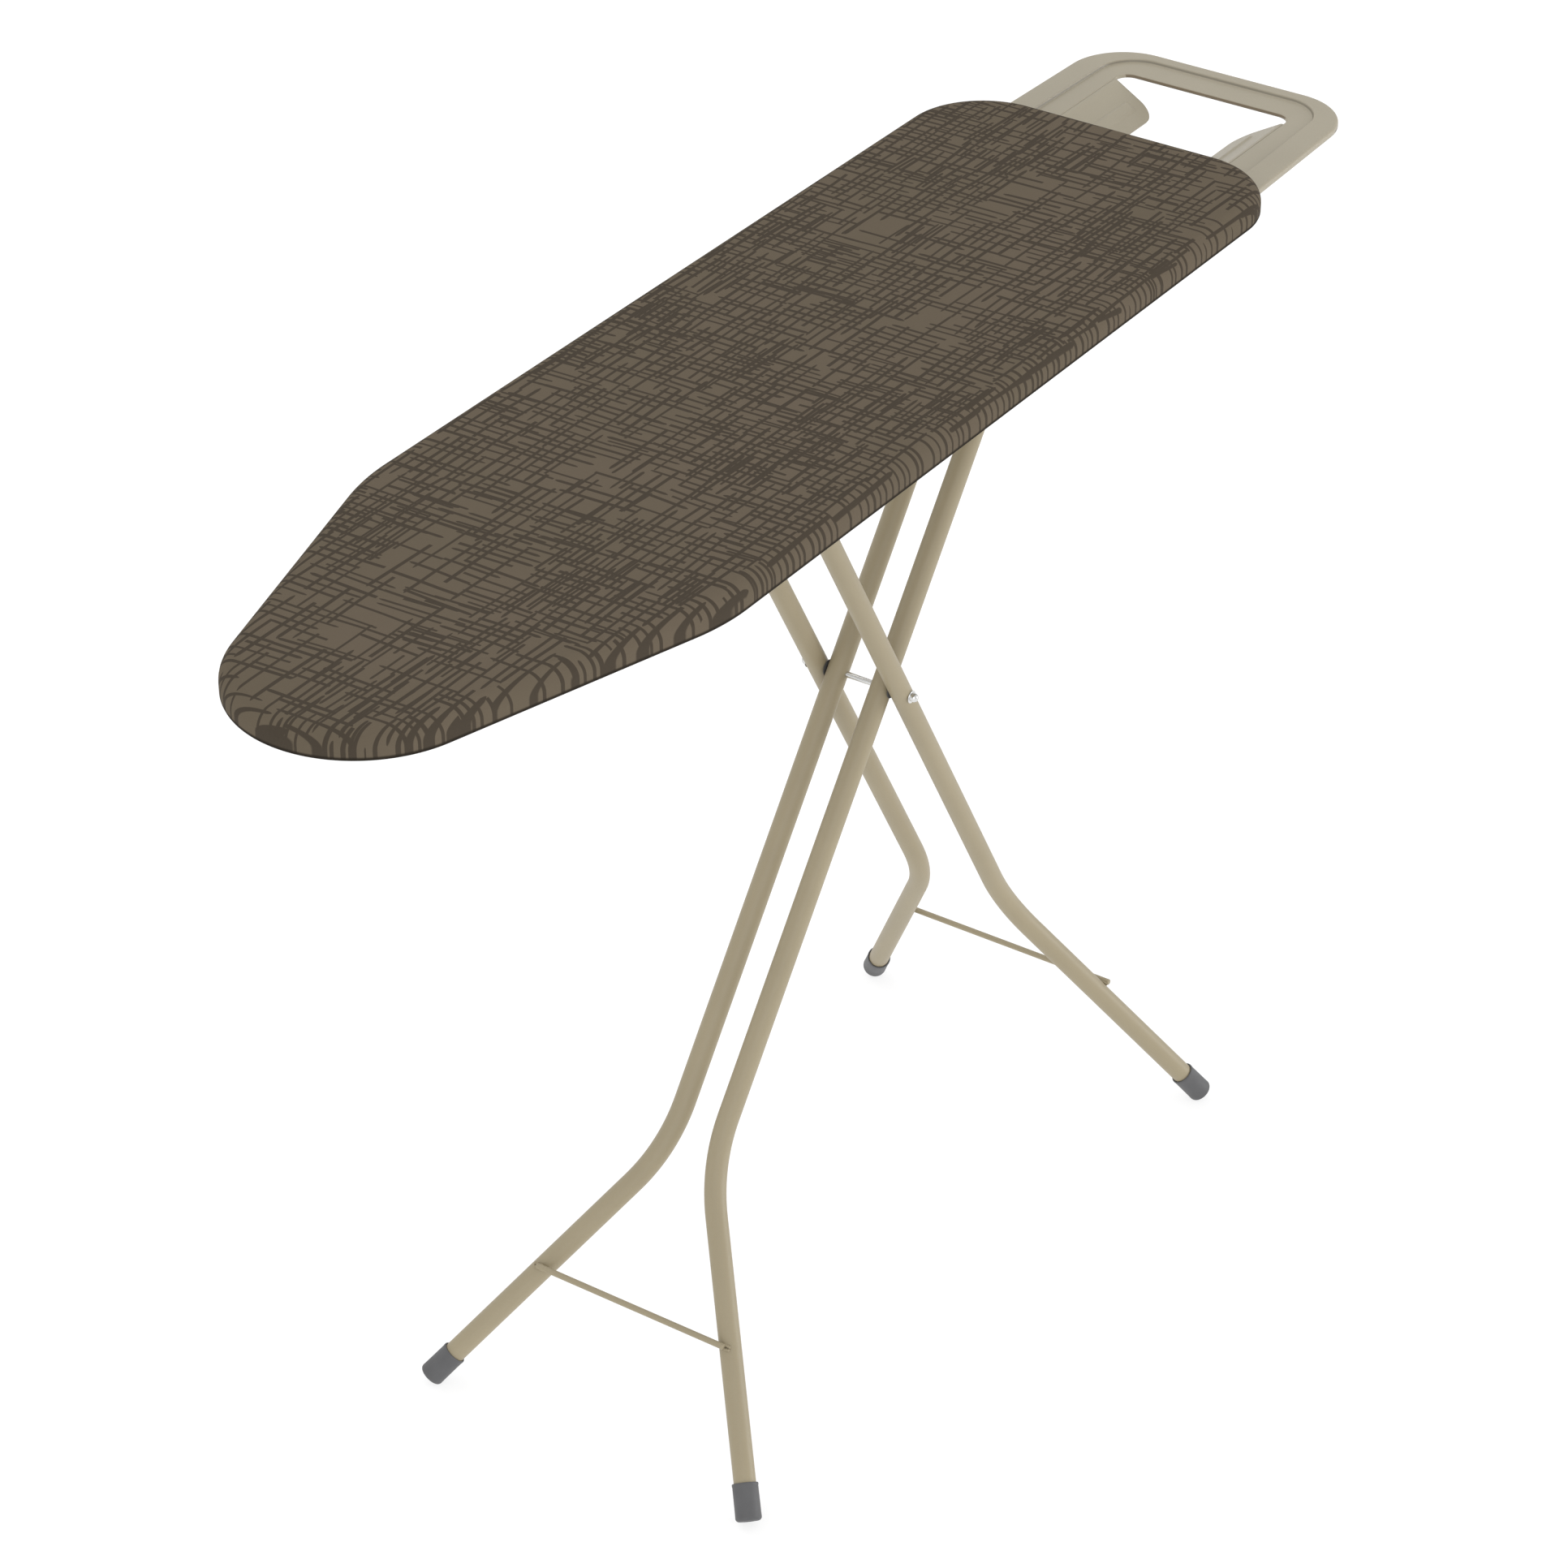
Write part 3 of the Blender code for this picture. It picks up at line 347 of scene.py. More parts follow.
def add_math(tree, operation, first, second=None, third=None, clamp=False):
    """One sum, product or other step between numbers."""
    node = tree.nodes.new("ShaderNodeMath")
    node.operation = operation
    node.use_clamp = clamp
    for socket, value in zip(node.inputs, (first, second, third)):
        feed(tree, socket, value)
    return node.outputs[0]


def add_mapped(tree, value, low, high, to_low=0.0, to_high=1.0, smooth=False):
    """A value carried from one range to another, held at the ends."""
    node = tree.nodes.new("ShaderNodeMapRange")
    node.interpolation_type = "SMOOTHSTEP" if smooth else "LINEAR"
    for name, number in (("Value", value), ("From Min", low), ("From Max", high),
                         ("To Min", to_low), ("To Max", to_high)):
        feed(tree, node.inputs[name], number)
    return node.outputs["Result"]


def add_mix(tree, share, first, second):
    """Two colours mixed by a share."""
    node = tree.nodes.new("ShaderNodeMix")
    node.data_type = "RGBA"
    feed(tree, node.inputs[0], share)
    feed(tree, node.inputs[6], first)
    feed(tree, node.inputs[7], second)
    return node.outputs[2]


def add_vector(tree, x, y, z):
    """A vector put together from three numbers."""
    node = tree.nodes.new("ShaderNodeCombineXYZ")
    for socket, value in zip(node.inputs, (x, y, z)):
        feed(tree, socket, value)
    return node.outputs[0]


def add_noise(tree, vector, scale, detail=2.0, roughness=0.5):
    """Soft noise from 0 to 1."""
    node = tree.nodes.new("ShaderNodeTexNoise")
    feed(tree, node.inputs["Vector"], vector)
    feed(tree, node.inputs["Scale"], scale)
    feed(tree, node.inputs["Detail"], detail)
    feed(tree, node.inputs["Roughness"], roughness)
    return node.outputs["Fac"]


def add_chance(tree, x, y, z):
    """(value, red, green, blue): four numbers from 0 to 1 that stay the same for one cell."""
    node = tree.nodes.new("ShaderNodeTexWhiteNoise")
    node.noise_dimensions = "3D"
    feed(tree, node.inputs["Vector"], add_vector(tree, x, y, z))
    parts = tree.nodes.new("ShaderNodeSeparateColor")
    tree.links.new(node.outputs["Color"], parts.inputs[0])
    return (node.outputs["Value"], *parts.outputs[:3])


def add_coordinates(tree, stretch=(1, 1, 1)):
    """Object coordinates, stretched for a grain that runs one way."""
    source = tree.nodes.new("ShaderNodeTexCoord")
    mapping = tree.nodes.new("ShaderNodeMapping")
    mapping.inputs["Scale"].default_value = stretch
    tree.links.new(source.outputs["Object"], mapping.inputs["Vector"])
    return mapping.outputs[0]


def new_group(name, inputs, outputs):
    """A shader group with named sockets: (tree, what it is given, what it puts out)."""
    tree = bpy.data.node_groups.new(name, "ShaderNodeTree")
    for label, kind, default in inputs:
        socket = tree.interface.new_socket(label, in_out="INPUT", socket_type=kind)
        if default is not None:
            socket.default_value = default
    for label, kind in outputs:
        tree.interface.new_socket(label, in_out="OUTPUT", socket_type=kind)
    entry = tree.nodes.new("NodeGroupInput")
    leave = tree.nodes.new("NodeGroupOutput")
    return tree, entry.outputs, leave.inputs


def add_group(tree, group, **values):
    """A group placed in a material. Its inputs are named with underscores for spaces."""
    node = tree.nodes.new("ShaderNodeGroup")
    node.node_tree = group
    for key, value in values.items():
        feed(tree, node.inputs[key.replace("_", " ")], value)
    return node.outputs


def new_material(name, roughness, metallic=0.0, specular=0.5):
    """A finish with its plain values set: (tree, its shader)."""
    material = bpy.data.materials.new(name)
    material.use_nodes = True
    tree = material.node_tree
    shader = tree.nodes["Principled BSDF"]
    shader.inputs["Roughness"].default_value = roughness
    shader.inputs["Metallic"].default_value = metallic
    shader.inputs["Specular IOR Level"].default_value = specular
    MATERIALS[name] = material
    return tree, shader


def add_bump(tree, shader, height, strength, distance):
    """Let a height tip the surface's normal."""
    bump = tree.nodes.new("ShaderNodeBump")
    bump.inputs["Strength"].default_value = strength
    bump.inputs["Distance"].default_value = distance
    tree.links.new(height, bump.inputs["Height"])
    tree.links.new(bump.outputs[0], shader.inputs["Normal"])


# Effects that several finishes share


def build_stroke_group():
    """Hand-drawn broken strokes that run along the vector's X."""
    number = "NodeSocketFloat"
    tree, given, out = new_group(
        "drawn_strokes",
        [
            ("Vector", "NodeSocketVector", None), ("Pitch", number, 0.008),
            ("Length", number, 0.090), ("Width", number, 0.002), ("Wander", number, 0.004),
            ("Least", number, 0.5), ("Most", number, 1.0), ("Seed", number, 0.0),
        ],
        [("Mask", number)],
    )
    parts = tree.nodes.new("ShaderNodeSeparateXYZ")
    tree.links.new(given["Vector"], parts.inputs[0])
    along, across = parts.outputs[0], parts.outputs[1]
    drift = add_noise(tree, add_vector(tree, along, across, given["Seed"]), 12.0, 1.0)
    drift = add_math(tree, "MULTIPLY", add_math(tree, "SUBTRACT", drift, 0.5), given["Wander"])
    across = add_math(tree, "ADD", across, drift)
    rows = add_math(tree, "DIVIDE", across, given["Pitch"])
    row = add_math(tree, "FLOOR", rows)
    place = add_math(tree, "FRACT", rows)
    shift = add_math(tree, "MULTIPLY", add_chance(tree, row, given["Seed"], 0.5)[0], 9.0)
    cells = add_math(tree, "ADD", add_math(tree, "DIVIDE", along, given["Length"]), shift)
    cell = add_math(tree, "FLOOR", cells)
    run = add_math(tree, "FRACT", cells)
    kept, slope, middle, broad = add_chance(tree, row, cell, given["Seed"])
    head, tail, _, _ = add_chance(tree, cell, add_math(tree, "ADD", row, 0.5), given["Seed"])
    centre = add_mapped(tree, middle, 0.0, 1.0, 0.28, 0.72)
    tilt = add_math(tree, "MULTIPLY", add_math(tree, "SUBTRACT", run, 0.5),
                    add_mapped(tree, slope, 0.0, 1.0, -0.42, 0.42))
    offset = add_math(tree, "ABSOLUTE",
                      add_math(tree, "SUBTRACT", place, add_math(tree, "ADD", centre, tilt)))
    start = add_math(tree, "SUBTRACT", run, add_mapped(tree, head, 0.35, 1.0, -0.1, 0.30))
    stop = add_math(tree, "SUBTRACT", add_mapped(tree, tail, 0.0, 0.65, 0.70, 1.1), run)
    reach = add_math(tree, "MINIMUM", start, stop)
    taper = add_mapped(tree, reach, 0.0, 0.05)
    half = add_math(tree, "DIVIDE", given["Width"],
                    add_math(tree, "MULTIPLY", given["Pitch"], 2.0))
    half = add_math(tree, "MULTIPLY", half, add_mapped(tree, broad, 0.0, 1.0, 0.80, 1.30))
    half = add_math(tree, "MULTIPLY", half, add_math(tree, "SQRT", taper))
    ink = add_mapped(tree, add_math(tree, "SUBTRACT", half, offset), -0.02, 0.03)
    cell_along = add_math(tree, "MULTIPLY",
                          add_math(tree, "SUBTRACT", add_math(tree, "ADD", cell, 0.5), shift),
                          given["Length"])
    cell_across = add_math(tree, "MULTIPLY", row, given["Pitch"])
    area = add_noise(tree, add_vector(tree, cell_along, cell_across, given["Seed"]), 9.5, 1.0)
    share = add_mapped(tree, area, 0.38, 0.62, given["Least"], given["Most"])
    present = add_math(tree, "LESS_THAN", kept, share)
    drawn = add_math(tree, "GREATER_THAN", reach, 0.0)
    drawn = add_math(tree, "MULTIPLY", present, drawn)
    feed(tree, out["Mask"], add_math(tree, "MULTIPLY", ink, drawn))
    return tree


def build_weave_group():
    """A plain weave: height of its threads, and a mask of the gaps between them."""
    number = "NodeSocketFloat"
    tree, given, out = new_group(
        "plain_weave",
        [("Vector", "NodeSocketVector", None), ("Thread", number, 0.0006)],
        [("Height", number), ("Gap", number)],
    )
    parts = tree.nodes.new("ShaderNodeSeparateXYZ")
    tree.links.new(given["Vector"], parts.inputs[0])
    u = add_math(tree, "DIVIDE", parts.outputs[0], given["Thread"])
    v = add_math(tree, "DIVIDE", parts.outputs[1], given["Thread"])
    warp = add_math(tree, "ABSOLUTE", add_math(tree, "SINE", add_math(tree, "MULTIPLY", u, pi)))
    weft = add_math(tree, "ABSOLUTE", add_math(tree, "SINE", add_math(tree, "MULTIPLY", v, pi)))
    crossing = add_math(tree, "ADD", add_math(tree, "FLOOR", u), add_math(tree, "FLOOR", v))
    turn = add_math(tree, "MODULO", add_math(tree, "ABSOLUTE", crossing), 2.0)
    over = add_math(tree, "MULTIPLY", add_math(tree, "SUBTRACT", warp, weft), turn)
    height = add_math(tree, "ADD", weft, over)
    feed(tree, out["Height"], height)
    feed(tree, out["Gap"], add_math(tree, "SUBTRACT", 1.0, add_math(tree, "MAXIMUM", warp, weft)))
    return tree


def build_coat_group():
    """Powder coat: orange peel, fine grit and slight unevenness of colour."""
    number = "NodeSocketFloat"
    tree, given, out = new_group(
        "powder_coat_grain",
        [("Vector", "NodeSocketVector", None), ("Grain", number, 0.0012), ("Mottle", number, 0.06)],
        [("Height", number), ("Shade", number), ("Gloss", number)],
    )
    fineness = add_math(tree, "DIVIDE", 1.0, given["Grain"])
    peel = add_noise(tree, given["Vector"], fineness, 2.0, 0.55)
    grit = add_noise(tree, given["Vector"], add_math(tree, "MULTIPLY", fineness, 2.7), 1.0, 0.6)
    cloud = add_noise(tree, given["Vector"], 14.0, 3.0, 0.55)
    feed(tree, out["Height"], add_math(tree, "ADD", peel, add_math(tree, "MULTIPLY", grit, 0.45)))
    speck = add_math(tree, "MULTIPLY", add_math(tree, "SUBTRACT", grit, 0.5), given["Mottle"])
    tone = add_math(tree, "MULTIPLY", add_math(tree, "SUBTRACT", cloud, 0.5), given["Mottle"])
    feed(tree, out["Shade"], add_math(tree, "ADD", 1.0, add_math(tree, "ADD", speck, tone)))
    feed(tree, out["Gloss"], add_math(tree, "SUBTRACT", peel, 0.5))
    return tree


def shade_colour(tree, colour, shade):
    """A colour made lighter or darker by a shade near 1."""
    node = tree.nodes.new("ShaderNodeMix")
    node.data_type = "RGBA"
    node.blend_type = "MULTIPLY"
    node.inputs[0].default_value = 1.0
    feed(tree, node.inputs[6], colour)
    tint = tree.nodes.new("ShaderNodeCombineColor")
    for socket in tint.inputs:
        if socket.name in ("Red", "Green", "Blue"):
            feed(tree, socket, shade)
    tree.links.new(tint.outputs[0], node.inputs[7])
    return node.outputs[2]


def swap_xy(tree, vector, slant=0.0):
    """The vector with X and Y exchanged, so that strokes run across instead of along."""
    parts = tree.nodes.new("ShaderNodeSeparateXYZ")
    feed(tree, parts.inputs[0], vector)
    lean = add_math(tree, "MULTIPLY", parts.outputs[1], slant)
    leaned = add_math(tree, "ADD", parts.outputs[0], lean)
    return add_vector(tree, parts.outputs[1], leaned, 0.0)


# Finishes


def make_cover_finish(settings, strokes, weave):
    """Woven cotton, printed with strokes along and across the board, with painted shade along its
    lower edge.
    """
    tree, shader = new_material("printed_cotton", 0.90, specular=0.06)
    along = add_coordinates(tree)
    across = swap_xy(tree, along, 0.02)
    width = settings.stroke_width
    # vector, pitch, length, width, wander, least and most strokes kept, seed
    layers = (
        (along, 0.008421, 0.088, width * 1.12, 0.0034, 0.66, 1.06, 3.1),
        (along, 0.005714, 0.042, width * 0.98, 0.0036, -0.65, 0.66, 17.7),
        (across, 0.0080, 0.066, width * 1.12, 0.0042, 0.58, 1.04, 41.3),
        (across, 0.0062, 0.036, width * 0.98, 0.0046, -0.65, 0.62, 63.9),
    )
    ink = None
    for vector, pitch, length, broad, wander, least, most, seed in layers:
        mask = add_group(
            tree, strokes, Vector=vector, Pitch=pitch, Length=length, Width=broad, Wander=wander,
            Least=least, Most=most, Seed=seed,
        )["Mask"]
        ink = mask if ink is None else add_math(tree, "MAXIMUM", ink, mask)
    cloth = tree.nodes.new("ShaderNodeUVMap")
    cloth.uv_map = "cloth"
    threads = add_group(tree, weave, Vector=cloth.outputs[0], Thread=settings.thread)
    cloud = add_noise(tree, along, 7.0, 2.0)
    base = add_mix(tree, add_mapped(tree, cloud, 0.35, 0.65), (*settings.base_colour, 1.0),
                   (*settings.base_colour_warm, 1.0))
    # Painted shade: the mask turn darkens the cloth in a band from about half a millimetre to four
    # above its lowest point, along the foot of its side and on the crests of the hem's pleats,
    # where shadow falls
    height_above = tree.nodes.new("ShaderNodeSeparateXYZ")
    tree.links.new(along, height_above.inputs[0])
    rise = add_math(tree, "SUBTRACT", height_above.outputs[2], COVER_LOW.z)
    turn = add_math(tree, "MULTIPLY", add_mapped(tree, rise, *LOWER_EDGE_STARTS),
                    add_mapped(tree, rise, *LOWER_EDGE_FADES, LOWER_EDGE_SHARE, 0.0))
    colour = add_mix(tree, ink, base, (*settings.stroke_colour, 1.0))
    shaded = Vector(settings.stroke_colour) * LOWER_EDGE_SHADE
    colour = add_mix(tree, turn, colour, (*shaded, 1.0))
    dim = add_math(tree, "SUBTRACT", 1.0, add_math(tree, "MULTIPLY", threads["Gap"], 0.45))
    feed(tree, shader.inputs["Base Color"], shade_colour(tree, colour, dim))
    feed(tree, shader.inputs["Roughness"], add_mapped(tree, ink, 0.0, 1.0, 0.90, 0.82))
    height = add_math(tree, "ADD", threads["Height"], add_math(tree, "MULTIPLY", ink, 0.12))
    add_bump(tree, shader, height, 0.35, 0.00020)


def make_felt_finish():
    """Needled felt with tufts and loose fibres."""
    tree, shader = new_material("needled_felt", 0.95, specular=0.1)
    shader.inputs["Sheen Weight"].default_value = 0.25
    vector = add_coordinates(tree)
    fibres = add_noise(tree, vector, 420.0, 4.0, 0.7)
    tufts = add_noise(tree, vector, 45.0, 3.0, 0.6)
    colour = add_mix(tree, add_mapped(tree, fibres, 0.35, 0.65), (0.62, 0.60, 0.55, 1.0),
                     (0.82, 0.80, 0.75, 1.0))
    feed(tree, shader.inputs["Base Color"],
         shade_colour(tree, colour, add_mapped(tree, tufts, 0.3, 0.7, 0.90, 1.05)))
    add_bump(tree, shader, add_math(tree, "ADD", fibres, tufts), 0.6, 0.0008)


def add_painted_rest_shade(tree, vector):
    """Masks of painted shade: the foot of the rest's step, and the window's turned edge."""
    band = REST_TOP_Z - REST_STEP
    parts = tree.nodes.new("ShaderNodeSeparateXYZ")
    tree.links.new(vector, parts.inputs[0])
    x, y, z = parts.outputs
    # Painted shade in the foot of the step, kept off the outer rim
    foot = add_mapped(tree, z, band + GROOVE_FOOT[0], band + GROOVE_FOOT[1])
    head = add_mapped(tree, z, band + GROOVE_HEAD[0], band + GROOVE_HEAD[1], 1.0, 0.0)
    inside = add_math(tree, "LESS_THAN", add_math(tree, "ABSOLUTE", y),
                      REST_HALF - GROOVE_SIDE_MARGIN)
    ahead = add_math(tree, "LESS_THAN", x, REST_REAR_X - GROOVE_REAR_MARGIN)
    step_shade_mask = add_math(tree, "MULTIPLY", add_math(tree, "MULTIPLY", foot, head),
                      add_math(tree, "MULTIPLY", inside, ahead))
    step_shade_mask = add_math(tree, "MULTIPLY", step_shade_mask, GROOVE_SHARE)
    # Painted shade on the turned edges that hang below the band at the rear
    below = add_mapped(tree, z, band - 0.0005, band - 0.0001, LIP_SHADE_SHARE, 0.0)
    lip = add_math(tree, "MULTIPLY", below,
                   add_math(tree, "GREATER_THAN", x, WINDOW_X[1] - 0.003))
    return step_shade_mask, lip


def make_coat_finish(name, coat, colour, colour_thin, roughness, grain, mottle, pressed=False):
    """Powder coat over steel, a little thinner and warmer in places, with painted shade in the
    rest's step and on its turned edges when pressed is set.
    """
    tree, shader = new_material(name, roughness, specular=0.45)
    vector = add_coordinates(tree)
    made = add_group(tree, coat, Vector=vector, Grain=grain, Mottle=mottle)
    thin = add_noise(tree, vector, 28.0, 2.0)
    tint = add_mix(tree, add_mapped(tree, thin, 0.40, 0.70), (*colour, 1.0), (*colour_thin, 1.0))
    # Painted shade: with pressed set, the step's foot darkens to GROOVE_SHADE of the coat and the
    # turned edges at the rear to a dark brown
    if pressed:
        step_shade_mask, lip = add_painted_rest_shade(tree, vector)
        tint = add_mix(tree, step_shade_mask, tint, (*(colour * GROOVE_SHADE), 1.0))
        tint = add_mix(tree, lip, tint, (*LIP_SHADE_COLOUR, 1.0))
    feed(tree, shader.inputs["Base Color"], shade_colour(tree, tint, made["Shade"]))
    feed(tree, shader.inputs["Roughness"],
         add_math(tree, "ADD", roughness, add_math(tree, "MULTIPLY", made["Gloss"], 0.18)))
    add_bump(tree, shader, made["Height"], 0.30, grain * 0.12)


def make_steel_finish(name, colour, roughness, stretch):
    """Drawn or plated steel with fine scratches along one direction."""
    tree, shader = new_material(name, roughness, metallic=1.0)
    vector = add_coordinates(tree, stretch)
    lines = add_noise(tree, vector, 900.0, 3.0, 0.6)
    stain = add_noise(tree, add_coordinates(tree), 60.0, 3.0, 0.6)
    feed(tree, shader.inputs["Base Color"],
         shade_colour(tree, (*colour, 1.0), add_mapped(tree, stain, 0.3, 0.7, 0.86, 1.04)))
    scratched = add_mapped(tree, lines, 0.3, 0.7, roughness - 0.05, roughness + 0.08)
    stained = add_mapped(tree, stain, 0.3, 0.7, 0.0, 0.07)
    feed(tree, shader.inputs["Roughness"], add_math(tree, "ADD", scratched, stained))
    add_bump(tree, shader, lines, 0.12, 0.00005)


def make_plastic_finish(name, colour, roughness, grain, mottle):
    """Moulded plastic with a fine spark-eroded grain."""
    tree, shader = new_material(name, roughness, specular=0.4)
    vector = add_coordinates(tree)
    pits = add_noise(tree, vector, grain, 2.0, 0.6)
    flow = add_noise(tree, vector, 90.0, 3.0)
    tone = add_mapped(tree, flow, 0.3, 0.7, 1.0 - mottle, 1.0 + mottle)
    feed(tree, shader.inputs["Base Color"], shade_colour(tree, (*colour, 1.0), tone))
    feed(tree, shader.inputs["Roughness"],
         add_mapped(tree, pits, 0.3, 0.7, roughness - 0.06, roughness + 0.08))
    add_bump(tree, shader, pits, 0.25, 0.00010)


def make_floor_finish(colour, glow):
    """A pale floor that gives out a little light."""
    tree, shader = new_material("studio_floor", 0.85, specular=0.1)
    shader.inputs["Emission Color"].default_value = (1.0, 1.0, 1.0, 1.0)
    shader.inputs["Emission Strength"].default_value = glow
    vector = add_coordinates(tree)
    cloud = add_noise(tree, vector, 1.3, 2.0)
    feed(tree, shader.inputs["Base Color"],
         shade_colour(tree, (*colour, 1.0), add_mapped(tree, cloud, 0.3, 0.7, 0.985, 1.0)))


# Board


def board_edge():
    """(point, outward direction, how far round, bentness) round the board from above, closed."""
    nose = Vector((NOSE_X + NOSE_R, 0.0))
    bend_y = HALF_WIDTH - BEND_R
    bend = Vector((nose.x + (cos(TAPER) * bend_y + BEND_R - NOSE_R) / sin(TAPER), bend_y))
    corner = Vector((REAR_X - REAR_CORNER_R, HALF_WIDTH - REAR_CORNER_R))
    turns = [
        (corner, REAR_CORNER_R, 0.0, pi / 2, 1.0),
        (bend, BEND_R, pi / 2, pi / 2 + TAPER, 0.25),
        (nose, NOSE_R, pi / 2 + TAPER, 3 * pi / 2 - TAPER, 1.0),
        (Vector((bend.x, -bend.y)), BEND_R, 3 * pi / 2 - TAPER, 3 * pi / 2, 0.25),
        (Vector((corner.x, -corner.y)), REAR_CORNER_R, 3 * pi / 2, 2 * pi, 1.0),
    ]
    edge = []
    for centre, radius, start, end, bent in turns:
        steps = round(radius * (end - start) / CORNER_STEP)
        for k in range(steps + 1):
            angle = start + (end - start) * k / steps
            outward = Vector((cos(angle), sin(angle)))
            fade = bent * sin(pi * k / steps) ** 0.5
            edge.append((centre + outward * radius, outward, fade))
    filled = []
    for index, (point, outward, fade) in enumerate(edge):
        filled.append((point, outward, fade))
        after = edge[(index + 1) % len(edge)]
        gap = (after[0] - point).length
        if gap > 2 * CORNER_STEP and (after[1] - outward).length < MERGE:
            pieces = max(1, round(gap / STRAIGHT_STEP))
            for k in range(1, pieces):
                filled.append((point.lerp(after[0], k / pieces), outward, 0.0))
    round_it = 0.0
    walked = []
    for index, (point, outward, fade) in enumerate(filled):
        walked.append((point, outward, round_it, fade))
        round_it += (filled[(index + 1) % len(filled)][0] - point).length
    walked.append((filled[0][0], filled[0][1], round_it, filled[0][2]))
    return walked


def fill_flat(bm, height, cell):
    """Close the opening at a height with one face, and cut it into a grid."""
    level = 1e-5
    bmesh.ops.contextual_create(bm, geom=boundary_at(bm, height, level))
    for axis, low, high in ((0, NOSE_X, REAR_X), (1, -HALF_WIDTH, HALF_WIDTH)):
        count = round((high - low) / cell)
        for k in range(1, count):
            place = [0.0, 0.0, height]
            place[axis] = low + (high - low) * k / count
            normal = [0.0, 0.0, 0.0]
            normal[axis] = 1.0
            flat = [
                f for f in bm.faces
                if abs(f.normal.z) > 0.999 and abs(f.calc_center_median().z - height) < level
            ]
            edges = {e for f in flat for e in f.edges}
            verts = {v for f in flat for v in f.verts}
            bmesh.ops.bisect_plane(
                bm, geom=[*flat, *edges, *verts], dist=MERGE, plane_co=place, plane_no=normal
            )


def ripple(point):
    """The slight softness of cloth over felt, in metres."""
    wave = sin(point.x * 41 + 2.1 * sin(point.y * 23)) * sin(point.y * 37 + 1.3 * sin(point.x * 17))
    return CLOTH_SOFTNESS * wave


def make_cover():
    """The cloth over the board, its rounded edge and its gathered hem."""
    edge = board_edge()
    low = COVER_LOW.z
    top = COVER_HIGH.z
    profile = []
    for k in range(9):
        angle = pi * 0.45 + 2 * pi * 0.86 * k / 8
        inset = HEM_WIDTH - CORD_TUNNEL_R * (1 + cos(angle))
        profile.append((inset, low + CORD_TUNNEL_R * (1 + sin(angle))))
    profile.reverse()
    profile += [(inset, low) for inset in HEM_INSETS]
    profile += [(inset, low + rise) for inset, rise in LOWER_EDGE]
    profile.append((0.0, top - EDGE_R))
    for k in range(1, 11):
        angle = pi / 2 * k / 10
        profile.append((EDGE_R * (1 - cos(angle)), top - EDGE_R * (1 - sin(angle))))
    profile.append((EDGE_R + TOP_MARGIN, top))
    rows = len(profile) - 1

    def place(i, j):
        point, outward, walked, bent = edge[i]
        inset, z = profile[j]
        spot = point - outward * inset
        under = z < low + GATHER_HEIGHT and j < rows - TOP_ROWS
        gathered = smoothstep(0.004, HEM_WIDTH, inset) if under else 0.0
        pleat = 0.5 - 0.5 * cos(2 * pi * walked / PLEAT_PITCH + 1.7 * sin(walked * 31))
        rise = (PLEAT_HEIGHT * bent + PLEAT_HEIGHT_STRAIGHT) * gathered * pleat
        return Vector((spot.x, spot.y, z + rise))

    bm = bmesh.new()
    add_mapped_grid(bm, len(edge) - 1, rows, place)
    bmesh.ops.remove_doubles(bm, verts=bm.verts, dist=MERGE)
    bmesh.ops.recalc_face_normals(bm, faces=bm.faces)
    bm.normal_update()
    fill_flat(bm, top, TOP_CELL)
    for vert in bm.verts:
        if vert.co.z > top - MERGE:
            inner = min(HALF_WIDTH - abs(vert.co.y), REAR_X - vert.co.x, vert.co.x - NOSE_X)
            vert.co.z += ripple(vert.co) * smoothstep(0.014, 0.05, inner)
    layer = bm.loops.layers.uv.new("cloth")
    bmesh.ops.recalc_face_normals(bm, faces=bm.faces)
    bm.normal_update()
    for face in bm.faces:
        outward = Vector((face.normal.x, face.normal.y))
        if outward.length > MERGE:
            outward.normalize()
        for loop in face.loops:
            spot = loop.vert.co
            loop[layer].uv = Vector((spot.x, spot.y)) + outward * (top - spot.z)
    piece = finish_piece(
        "board_cover", bm, "board", "printed_cotton", ("cover",), 60
    )
    add_wall(piece, "cloth_thickness", CLOTH_SHEET)


def make_felt_pad():
    """The felt between the panel and the cloth, with a soft cut edge."""
    edge = board_edge()
    low, high = PAD_LOW.z, PAD_HIGH.z
    profile = [
        (0.0150, low), (0.0060, low), (0.0050, low + 0.0006), (0.0047, low + 0.0016),
        (0.0052, low + 0.0029), (0.0068, low + 0.0043), (0.0092, low + 0.0053),
        (0.0125, high - 0.0001), (0.0160, high),
    ]

    def place(i, j):
        point, outward, walked, _ = edge[i]
        inset, z = profile[j]
        near_edge = smoothstep(0.016, 0.006, inset)
        wobble = 0.0004 * sin(walked * 190 + 2 * sin(walked * 47)) * near_edge
        spot = point - outward * (inset + abs(wobble))
        return Vector((spot.x, spot.y, z))

    bm = bmesh.new()
    add_mapped_grid(bm, len(edge) - 1, len(profile) - 1, place)
    bmesh.ops.remove_doubles(bm, verts=bm.verts, dist=MERGE)
    bm.normal_update()
    for height in (low, high):
        fill_flat(bm, height, 2 * TOP_CELL)
    piece = finish_piece("felt_pad", bm, "board", "needled_felt", ("foam_pad",), 60)


def cut_to_edge(bm, inset):
    """Keep what lies inside the board's outline, moved in by inset."""
    done = []
    for point, outward, _, _ in board_edge():
        if done and (outward - done[-1]).length < 0.055:
            continue
        done.append(outward)
        place = point - outward * inset
        bmesh.ops.bisect_plane(
            bm, geom=[*bm.verts, *bm.edges, *bm.faces], dist=1e-7,
            plane_co=(place.x, place.y, 0), plane_no=(outward.x, outward.y, 0), clear_outer=True,
        )


